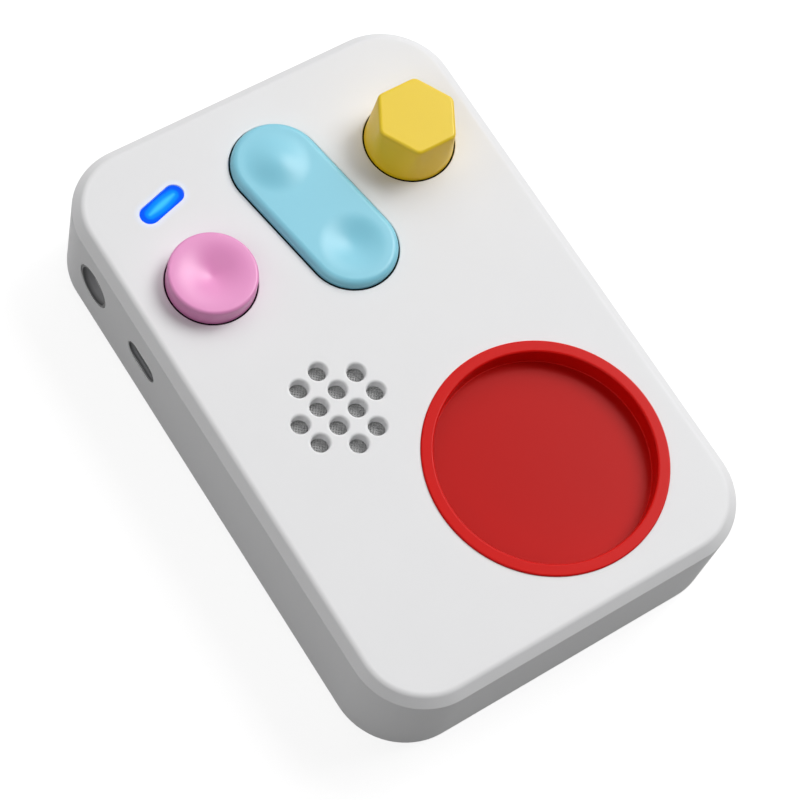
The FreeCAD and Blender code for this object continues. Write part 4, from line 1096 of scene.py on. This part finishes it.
class PLAYER_OT_rocker(bpy.types.Operator):
    """Build the track rocker with its raised and its sunk finger mark"""
    bl_idname = "player.rocker"
    bl_label = "Track rocker"

    def execute(self, context):
        rocker = context.scene.player_rocker
        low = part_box("track_rocker")[0].z
        skirt = face_z - context.scene.player_case.wall - rocker.skirt
        top = face_z + rocker.proud
        roof = top - rocker.dip - rocker.wall
        land = rocker.edge + rocker.land
        profile = softened([
            (-rocker.wall, roof, 0), (-rocker.wall, skirt, 0), (0, skirt, rocker.skirt_edge),
            (0, gap_shade_top, 0), (0, top, rocker.edge), (-land, top, 0)], steps=9)
        bm = bmesh.new()
        outline = pill(
            rocker_place.x, rocker_place.y, rocker.half_pitch, rocker.radius, rocker.lean, count=44)
        rings = loft(bm, outline, profile)
        fill(bm, rings[0])
        root = roof + rocker.stem_root
        stem = [(0, low), (rocker.stem, low), (rocker.stem, root), (0, root)]
        level = 0.05 * MM  # narrow level ring round each mark
        marks = []
        for side, height in ((1, rocker.dome), (-1, -rocker.dip)):
            x, y = turned_place(rocker_place.x, rocker_place.y, side * rocker.half_pitch, 0, rocker.lean)
            mark = [(rocker.mark + level, top)] + wave(rocker.mark, top, top + height, steps=20)
            marks.append(loft(bm, circle(x, y), mark)[0])
            loft(bm, circle(x, y, count=32), stem)
        fill(bm, rings[-1], *marks)
        # ABS, injection moulded: satin pale blue, a little less glossy than the pink button
        blue = moulded_plastic("moulded_abs_blue", rocker.shade, roughness=0.38, gloss=0.6)
        # Below the face the rocker is painted near black, as painted shade in the gap.
        second_material(bm, gap_shade_top)
        finished(bm, "rocker_cap", [blue, painted_gap_shade()], "track_rocker", "track_rocker")
        return {"FINISHED"}


class PLAYER_OT_knob(bpy.types.Operator):
    """Build the volume knob, round at its base and six-sided at its top"""
    bl_idname = "player.knob"
    bl_label = "Volume knob"

    def execute(self, context):
        knob = context.scene.player_knob
        x, y = knob_place.x, knob_place.y
        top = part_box("volume_knob")[1].z
        base_z = face_z - knob.sunk
        roof = top - knob.roof
        apothem = knob.crown * math.cos(math.pi / KNOB_SIDES)
        slope = math.atan((knob.base - apothem) / (top - face_z))
        in_from_edge = knob.edge * (1 - math.sin(slope)) / math.cos(slope)
        crown = crown_ring(x, y, apothem, knob.corner)
        base = base_ring(x, y, knob.base)
        core = base_ring(x, y, 0)
        edge_steps = 8
        side_steps = 10
        upper = []
        for step in range(edge_steps + 1):
            a = slope + (math.pi / 2 - slope) * step / edge_steps
            upper.append(crown(knob.edge * math.cos(a) - in_from_edge, top - knob.edge * (1 - math.sin(a))))
        level = 0.1 * MM  # narrow level ring inside the top's rounded edge
        upper.append(crown(-in_from_edge - level, top))
        foot = base(0, face_z)
        side = [
            [low.lerp(high, step / side_steps) for low, high in zip(foot, upper[0])]
            for step in range(side_steps)]
        lower = [
            core(apothem - knob.wall, roof), base(-knob.wall, base_z), base(0, base_z), base(0, gap_shade_top)]
        boss = [
            core(knob.boss, roof), core(knob.boss, base_z), core(knob.bore, base_z),
            core(knob.bore, base_z + knob.bore_deep)]
        bm = bmesh.new()
        outside = joined(bm, lower + side + upper)
        inside = joined(bm, boss)
        bridge(bm, outside[0], inside[0])
        fill(bm, outside[-1])
        fill(bm, inside[-1])
        # ABS, injection moulded: satin yellow, with painted bounce light that makes the sides paler and
        # warmer than the top
        yellow = moulded_plastic(
            "moulded_abs_yellow", knob.shade, roughness=0.38, gloss=0.5, sides=(knob.deep, top))
        # Below the face the knob is painted near black, as painted shade in the gap.
        second_material(bm, gap_shade_top)
        finished(bm, "knob_cap", [yellow, painted_gap_shade()], "volume_knob", "volume_knob")
        return {"FINISHED"}


class PLAYER_OT_status_light(bpy.types.Operator):
    """Build the status light's window and light pipe"""
    bl_idname = "player.status_light"
    bl_label = "Status light"

    def execute(self, context):
        light = context.scene.player_light
        under = face_z - context.scene.player_case.wall
        top = face_z - light.sunk
        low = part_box("light_pipe")[0].z
        bm = bmesh.new()
        x, y = light_place.x, light_place.y
        level = 0.8 * MM  # level ring inside the window's rounded edge
        window = pill(x, y, light.half_pitch, light.radius, light.lean, count=24)
        capped(bm, loft(bm, window, softened([
            (light.flange - HAIR, under - light.flange, 0), (light.flange, under - 10 * HAIR, 0),
            (0, under, 0), (0, top, light.edge_round), (-level, top, 0)])))
        leg = pill(x, y, light.leg_half_pitch, light.leg_radius, light.lean, count=12)
        capped(bm, loft(bm, leg, [(0, low), (0, under - light.leg_root)]))
        # Polycarbonate, clear and polished, with the lamp's light spread inside it
        lit = glowing_window("polished_polycarbonate_lit", light)
        finished(bm, "light_window", [lit], "case", "light_pipe")
        return {"FINISHED"}


class PLAYER_OT_speaker_cloth(bpy.types.Operator):
    """Weave the cloth behind the sound holes"""
    bl_idname = "player.speaker_cloth"
    bl_label = "Speaker cloth"

    def execute(self, context):
        grille = context.scene.player_grille
        low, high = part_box("speaker_cloth")
        radius = (high.x - low.x) / 2
        # Polyester, woven and dyed: dull grey threads, drawn coarser than real ones so that they show
        cloth = woven_polyester("woven_polyester_grey", grille.shade)
        mesh = grown(weave_tree(), bpy.data.meshes.new("start"), {
            "Radius": radius - grille.thread_radius, "Pitch": grille.thread_pitch,
            "Thread Radius": grille.thread_radius, "Wave": grille.wave * grille.thread_radius,
            "Threads": 2 * round(radius / grille.thread_pitch), "Material": cloth})
        place = Matrix.Translation(grille_place - Vector((0, 0, grille.slack)))
        mesh.transform(place @ Matrix.Rotation(grille.bias, 4, "Z"))
        dressed(mesh, "speaker_weave", "case", "speaker_cloth")
        return {"FINISHED"}


def corner_places(node, radius):
    """Centres of four like solids that stand in the corners of their CAD node's box."""
    low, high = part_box(node)
    across = (low.x + radius, high.x - radius)
    return [(x, y, 0.0) for x in across for y in (low.y + radius, high.y - radius)]


def tray_corners(bm, cover, floor):
    """Four angled corners that stand on the cover round the battery, each a quarter of its sides long."""
    low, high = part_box("battery")
    centre = (low + high) / 2
    half = (high - low) / 2
    root = 0.1 * MM  # how far the corners reach into the cover
    for sx, sy in ((1, 1), (-1, 1), (-1, -1), (1, -1)):
        x = centre.x + sx * (half.x + cover.tray_gap)
        y = centre.y + sy * (half.y + cover.tray_gap)
        far_x = x + sx * cover.tray
        far_y = y + sy * cover.tray
        near_x = x - sx * half.x / 2
        near_y = y - sy * half.y / 2
        outline = [(x, y), (x, near_y), (far_x, near_y), (far_x, far_y), (near_x, far_y), (near_x, y)]
        capped(bm, joined(bm, [
            [(px, py, height) for px, py in outline] for height in (floor - root, floor + cover.tray_high)]))


class PLAYER_OT_cover(bpy.types.Operator):
    """Build the back cover with its lip, battery tray, foot recesses and countersunk holes"""
    bl_idname = "player.cover"
    bl_label = "Back cover"

    def execute(self, context):
        scene = context.scene
        case = scene.player_case
        cover = scene.player_cover
        screw = scene.player_screws
        foot = scene.player_feet
        under = case_low.z
        upper = under + case.cover
        margin = case.seat - case.wall - cover.gap
        lip = -case.wall - cover.gap
        lip_in = lip - cover.lip
        lip_top = upper + cover.lip_high
        level = 0.1 * MM  # narrow level ring inside the lip
        bm = bmesh.new()
        rings = loft(bm, case_ring(case), softened([
            (margin - 2 * cover.edge, under, 0), (margin, under, cover.edge),
            (margin, upper, cover.inner_edge), (lip, upper, 0), (lip, lip_top, cover.lip_edge),
            (lip_in, lip_top, cover.lip_edge), (lip_in, upper, 0), (lip_in - level, upper, 0)]))
        clear = screw.shank + screw.shank_gap
        seat = under + screw.sunk
        wide = screw.head + screw.head_gap
        steep = screw.head_high / (screw.head - screw.shank)
        passage = softened([
            (wide + 2 * cover.easing, under, 0), (wide, under, cover.easing),
            (wide, seat + screw.straight, 0), (clear, seat + (wide - clear) * steep, 0), (clear, upper, 0)])
        tunnels = []
        for x, y, _ in corner_places("case_screws", screw.head):
            tunnels.append(loft(bm, circle(x, y, count=48), passage))
        wide = foot.radius + cover.gap
        pocket = softened([
            (wide + 2 * cover.easing, under, 0), (wide, under, cover.easing),
            (wide, under + cover.recess, 0), (0, under + cover.recess, 0)])
        pockets = []
        for x, y, _ in corner_places("rubber_feet", foot.radius):
            pockets.append(loft(bm, circle(x, y, count=64), pocket))
        fill(bm, rings[0], *[tunnel[0] for tunnel in tunnels + pockets])
        fill(bm, rings[-1], *[tunnel[-1] for tunnel in tunnels])
        tray_corners(bm, cover, upper)
        # ABS, injection moulded: the case's grey, with the coarser grain that an underside gets
        grained = moulded_plastic(
            "moulded_abs_cover", case.shade, roughness=0.5, grain=0.6 * MM, relief=0.03 * MM, spread=0.012,
            gloss=0.25)
        finished(bm, "cover_plate", [grained], "case", "back_cover")
        return {"FINISHED"}


class PLAYER_OT_feet(bpy.types.Operator):
    """Build the four rubber feet"""
    bl_idname = "player.feet"
    bl_label = "Feet"

    def execute(self, context):
        foot = context.scene.player_feet
        low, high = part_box("rubber_feet")
        deep = low.z + foot.dimple
        bm = bmesh.new()
        loft(bm, circle(count=64), softened([
            (0, high.z, 0), (foot.radius, high.z, 0), (foot.radius, low.z, foot.edge),
            (foot.dimple_radius, low.z, foot.dimple_edge),
            (foot.dimple_radius - foot.dimple, deep, foot.dimple_foot), (0, deep, 0)]))
        # Rubber, moulded: dark and matt, with a dry uneven face
        rubber = moulded_plastic(
            "moulded_rubber_dark", foot.shade, roughness=0.8, grain=0.2 * MM, relief=0.03 * MM, gloss=0.3)
        mesh = repeated(bm, corner_places("rubber_feet", foot.radius), rubber)
        dressed(mesh, "foot_pads", "case", "rubber_feet")
        return {"FINISHED"}


class PLAYER_OT_screws(bpy.types.Operator):
    """Build the four countersunk screws of the back cover"""
    bl_idname = "player.screws"
    bl_label = "Screws"

    def execute(self, context):
        screw = context.scene.player_screws
        low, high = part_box("case_screws")
        face = low.z
        neck = face + screw.head_high
        start = neck + screw.neck
        end = high.z - screw.point
        steps_per_turn = 6
        count = round((end - start) / screw.pitch * steps_per_turn)
        level = 0.2 * MM  # level ring inside the head's rounded edge
        profile = softened([
            (screw.head - level, face, 0), (screw.head, face, screw.head_edge),
            (screw.shank, neck, screw.neck_round), (screw.shank, start, 0)])
        profile += [(screw.shank, start + (end - start) * step / count) for step in range(1, count)]
        profile += [(screw.shank - screw.thread, end), (screw.tip, high.z), (0, high.z)]
        bm = bmesh.new()
        rings = loft(bm, threaded_ring(screw.thread, screw.pitch, start, end), profile)
        recess = loft(bm, cross_ring(screw.cross, screw.cross_wide), [
            (screw.cross_edge, face), (0, face + screw.cross_edge),
            (-screw.cross_taper, face + screw.cross_deep)])
        fill(bm, rings[0], recess[0])
        fill(bm, recess[-1])
        # Steel, zinc plated: pale blue-grey, with a fine brushed polish
        zinc = metal("zinc_plated_steel_screw", linear("c9cbd0"), roughness=0.32)
        mesh = repeated(bm, corner_places("case_screws", screw.head), zinc)
        dressed(mesh, "cover_screws", "case", "case_screws")
        return {"FINISHED"}


class PLAYER_OT_domes(bpy.types.Operator):
    """Build the three silicone domes that push the button and the rocker back"""
    bl_idname = "player.domes"
    bl_label = "Domes"

    def execute(self, context):
        dome = context.scene.player_domes
        # Silicone, moulded: milky and softly shiny
        silicone = moulded_plastic("moulded_silicone_milky", dome.shade, roughness=0.6)
        for name, node, joint, drop in (
                ("play_cup", "play_dome", "play_press", dome.press),
                ("next_cup", "next_dome", "track_tilt", dome.tilt),
                ("back_cup", "back_dome", "track_tilt", dome.tilt)):
            low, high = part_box(node)
            centre = middle(node)
            ring_top = low.z + dome.ring_high
            inner = high.z - dome.wall - dome.contact
            bm = bmesh.new()
            loft(bm, circle(centre.x, centre.y, count=64), softened([
                (0, high.z, 0), (dome.crown, high.z, dome.bend),
                (dome.radius - dome.shoulder, ring_top, dome.bend), (dome.radius, ring_top, dome.edge),
                (dome.radius, low.z, 0), (dome.radius - dome.ring, low.z, 0),
                (dome.crown - dome.wall, inner, dome.edge), (0, inner, 0)]))
            cup = finished(bm, name, [silicone], "case", node)
            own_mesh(cup)
        return {"FINISHED"}


class PLAYER_OT_inner_parts(bpy.types.Operator):
    """Give the CAD pieces that are kept as they are their real materials"""
    bl_idname = "player.inner_parts"
    bl_label = "Kept pieces"

    def execute(self, context):
        sockets = context.scene.player_sockets
        # Nylon, injection moulded: dull and slightly mottled, with painted light on the collars' inner walls
        collar = socket_nylon_painted_light("moulded_nylon_grey_painted_light", sockets)
        # Nylon, injection moulded in black or in warm white: plain, with a faint sheen
        black = moulded_plastic("moulded_nylon_black", linear("1c1c1d"), roughness=0.5)
        white = moulded_plastic("moulded_nylon_white", linear("e2dfd2"), roughness=0.5)
        # Steel, zinc plated: pale blue-grey, with soft highlights
        zinc = metal("zinc_plated_steel", linear("c9cbd0"), roughness=0.32)
        # Stainless steel, pressed: smooth and a shade darker, with brighter highlights
        steel = metal("pressed_stainless_steel", linear("b8babd"), roughness=0.28)
        # Brass, turned: bright yellow, the smoothest of the metals
        brass = metal("turned_brass", linear("d9b469"), roughness=0.25)
        # Copper, etched: warm red-brown, with a dull shine
        copper = metal("etched_copper", linear("d98e62"), roughness=0.35)
        # Ferrite, sintered and ground: nearly black and dry, with a fine grain
        ferrite = moulded_plastic("sintered_ferrite", linear("303033"), roughness=0.6, grain=0.15 * MM)
        # Aluminium foil, laminated: silvery, with wide soft creases
        foil = metal("laminated_aluminium_foil", linear("c8cacc"), roughness=0.38, scratch=0.6 * MM)
        # Foam, open cells: dull black, rough all over
        foam = pressed_paper("open_cell_foam_black", linear("2a2a2b"))
        # Paper, pressed: matt dark grey, with short fibres
        paper = pressed_paper("pressed_paper_black", linear("333334"))
        # Glass-epoxy, coated with solder mask: glossy green, paler over the tracks
        board = solder_mask("solder_mask_green")
        finishes = {
            collar: ["jack_sleeve", "usb_sleeve"],
            black: ["headphone_jack", "usb_tongue", "encoder_body", "encoder_shaft", "processor_chip"],
            white: ["status_lamp", "battery_socket"],
            zinc: ["board_screws"],
            steel: ["usb_shell", "speaker_frame", "rocker_pin"],
            brass: ["encoder_bush"],
            copper: ["antenna_coil"],
            ferrite: ["speaker_magnet"],
            foil: ["battery"],
            foam: ["speaker_gasket", "battery_pad"],
            paper: ["speaker_cone"],
            board: ["main_board", "antenna_board"],
        }
        for material, nodes in finishes.items():
            for name in nodes:
                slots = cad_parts[name].data.materials
                slots.clear()
                slots.append(material)
        return {"FINISHED"}


# Square soft lights that point at the case: name, group, place and width in metres, power in watts
LAMPS = [
    ("key", "key", (1.93, 0.0, 2.30), 1.5, 49.4),
    ("key_far", "key", (1.67, 0.96, 2.30), 1.5, 17.8),
    ("key_low", "key", (2.29, 0.77, 1.72), 1.5, 11.2),
    ("far_low", "fill", (1.23, 2.13, 1.72), 1.5, 9.2),
    ("far", "fill", (0.0, 1.93, 2.30), 1.8, 8.8),
    ("far_left", "fill", (-2.36, 1.36, 1.27), 1.8, 9.8),
    ("left", "fill", (-1.81, -0.66, 2.30), 1.8, 19.4),
]
FLOOR_REACH = 4.0  # middle of the floor to its edges, in metres
SENSOR_WIDTH = 36.0  # in millimetres, as the focal length
FOCAL_LENGTH = 114.715
CAMERA_PLACE = Vector((-0.172104, -0.136043, 0.462115))
CAMERA_RIGHT = Vector((0.83046, -0.53400, 0.15868))
CAMERA_UP = Vector((0.44024, 0.80364, 0.40044))


class PLAYER_OT_stage(bpy.types.Operator):
    """Set up the floor, the lights, the background and the camera"""
    bl_idname = "player.stage"
    bl_label = "Stage"

    def execute(self, context):
        scene = context.scene
        stage = scene.player_stage
        bm = bmesh.new()
        bmesh.ops.create_grid(bm, x_segments=1, y_segments=1, size=FLOOR_REACH)
        mesh = bpy.data.meshes.new("floor")
        bm.to_mesh(mesh)
        bm.free()
        floor = bpy.data.objects.new("floor", mesh)
        scene.collection.objects.link(floor)
        # Paper, matt: plain grey in its effect on the case, and lifted to near white where it is seen
        material, tree, _ = new_material("matt_paper_floor")
        matt = add(tree, "ShaderNodeBsdfDiffuse", {"Color": shade(stage.floor)})
        lift = add(tree, "ShaderNodeEmission", {"Color": (1, 1, 1, 1), "Strength": stage.lift})
        pale = add(tree, "ShaderNodeAddShader", {0: matt.outputs[0], 1: lift.outputs[0]})
        paper = add(tree, "ShaderNodeMixShader", {0: self.seen(tree), 1: matt.outputs[0], 2: pale.outputs[0]})
        add(tree, "ShaderNodeOutputMaterial", {"Surface": paper.outputs[0]})
        mesh.materials.append(material)

        world = bpy.data.worlds.new("soft_room")
        scene.world = world
        world.use_nodes = True
        sky = world.node_tree
        sky.nodes.clear()
        room = add(sky, "ShaderNodeBackground", {"Color": (1, 1, 1, 1), "Strength": self.seen(sky)})
        add(sky, "ShaderNodeOutputWorld", {"Surface": room.outputs[0]})

        for name, group, place, width, watts in LAMPS:
            self.lamp(scene, name, place, width, watts * getattr(stage, group))
        self.camera(scene)
        scene.view_settings.view_transform = "Standard"
        return {"FINISHED"}

    def seen(self, tree):
        """1 for rays that show the background: from the camera, or mirrored or let through by a surface."""
        path = add(tree, "ShaderNodeLightPath").outputs
        direct = add(tree, "ShaderNodeMath", {
            0: path["Is Camera Ray"], 1: path["Is Glossy Ray"]}, operation="MAXIMUM")
        through = add(tree, "ShaderNodeMath", {
            0: direct.outputs[0], 1: path["Is Transmission Ray"]}, operation="MAXIMUM")
        return through.outputs[0]

    def lamp(self, scene, name, place, width, watts):
        """Square soft light that points at the middle of the case."""
        data = bpy.data.lights.new(name, "AREA")
        data.shape = "SQUARE"
        data.size = width
        data.energy = watts
        lamp = bpy.data.objects.new(name, data)
        lamp.location = place
        lamp.rotation_mode = "QUATERNION"
        lamp.rotation_quaternion = (Vector(place) - Vector((0, 0, face_z))).to_track_quat("Z", "Y")
        scene.collection.objects.link(lamp)

    def camera(self, scene):
        """Long lens that looks down on the case from beyond its lower left corner."""
        data = bpy.data.cameras.new("camera")
        data.sensor_width = SENSOR_WIDTH
        data.lens = FOCAL_LENGTH
        data.clip_start = 0.05
        data.clip_end = 20.0
        back = CAMERA_RIGHT.cross(CAMERA_UP)
        turned = Matrix((CAMERA_RIGHT, back.cross(CAMERA_RIGHT), back)).transposed().to_4x4()
        camera = bpy.data.objects.new("camera", data)
        camera.matrix_world = Matrix.Translation(CAMERA_PLACE) @ turned
        scene.collection.objects.link(camera)
        scene.camera = camera


OPERATORS = [
    PLAYER_OT_case, PLAYER_OT_dish, PLAYER_OT_play_button, PLAYER_OT_rocker, PLAYER_OT_knob,
    PLAYER_OT_status_light, PLAYER_OT_speaker_cloth, PLAYER_OT_cover, PLAYER_OT_feet, PLAYER_OT_screws,
    PLAYER_OT_domes, PLAYER_OT_inner_parts, PLAYER_OT_stage,
]


class PLAYER_PT_panel(bpy.types.Panel):
    """Lists the steps that build the player"""
    bl_label = "Story Player"
    bl_idname = "PLAYER_PT_panel"
    bl_space_type = "VIEW_3D"
    bl_region_type = "UI"
    bl_category = "Story Player"

    def draw(self, context):
        for operator in OPERATORS:
            self.layout.operator(operator.bl_idname)


SETTINGS = {
    "player_case": CaseSettings,
    "player_grille": GrilleSettings,
    "player_dish": DishSettings,
    "player_play": PlaySettings,
    "player_rocker": RockerSettings,
    "player_knob": KnobSettings,
    "player_light": LightSettings,
    "player_sockets": SocketSettings,
    "player_cover": CoverSettings,
    "player_feet": FootSettings,
    "player_screws": ScrewSettings,
    "player_domes": DomeSettings,
    "player_stage": StageSettings,
}
CLASSES = [*SETTINGS.values(), *OPERATORS, PLAYER_PT_panel]


def register():
    for made in CLASSES:
        bpy.utils.register_class(made)
    for name, group in SETTINGS.items():
        setattr(bpy.types.Scene, name, bpy.props.PointerProperty(type=group))


def unregister():
    for name in SETTINGS:
        delattr(bpy.types.Scene, name)
    for made in reversed(CLASSES):
        bpy.utils.unregister_class(made)


def main():
    register()
    bpy.ops.player.case()
    bpy.ops.player.dish()
    bpy.ops.player.play_button()
    bpy.ops.player.rocker()
    bpy.ops.player.knob()
    bpy.ops.player.status_light()
    bpy.ops.player.speaker_cloth()
    bpy.ops.player.cover()
    bpy.ops.player.feet()
    bpy.ops.player.screws()
    bpy.ops.player.domes()
    bpy.ops.player.inner_parts()
    bpy.ops.player.stage()


if __name__ == "__main__":
    main()
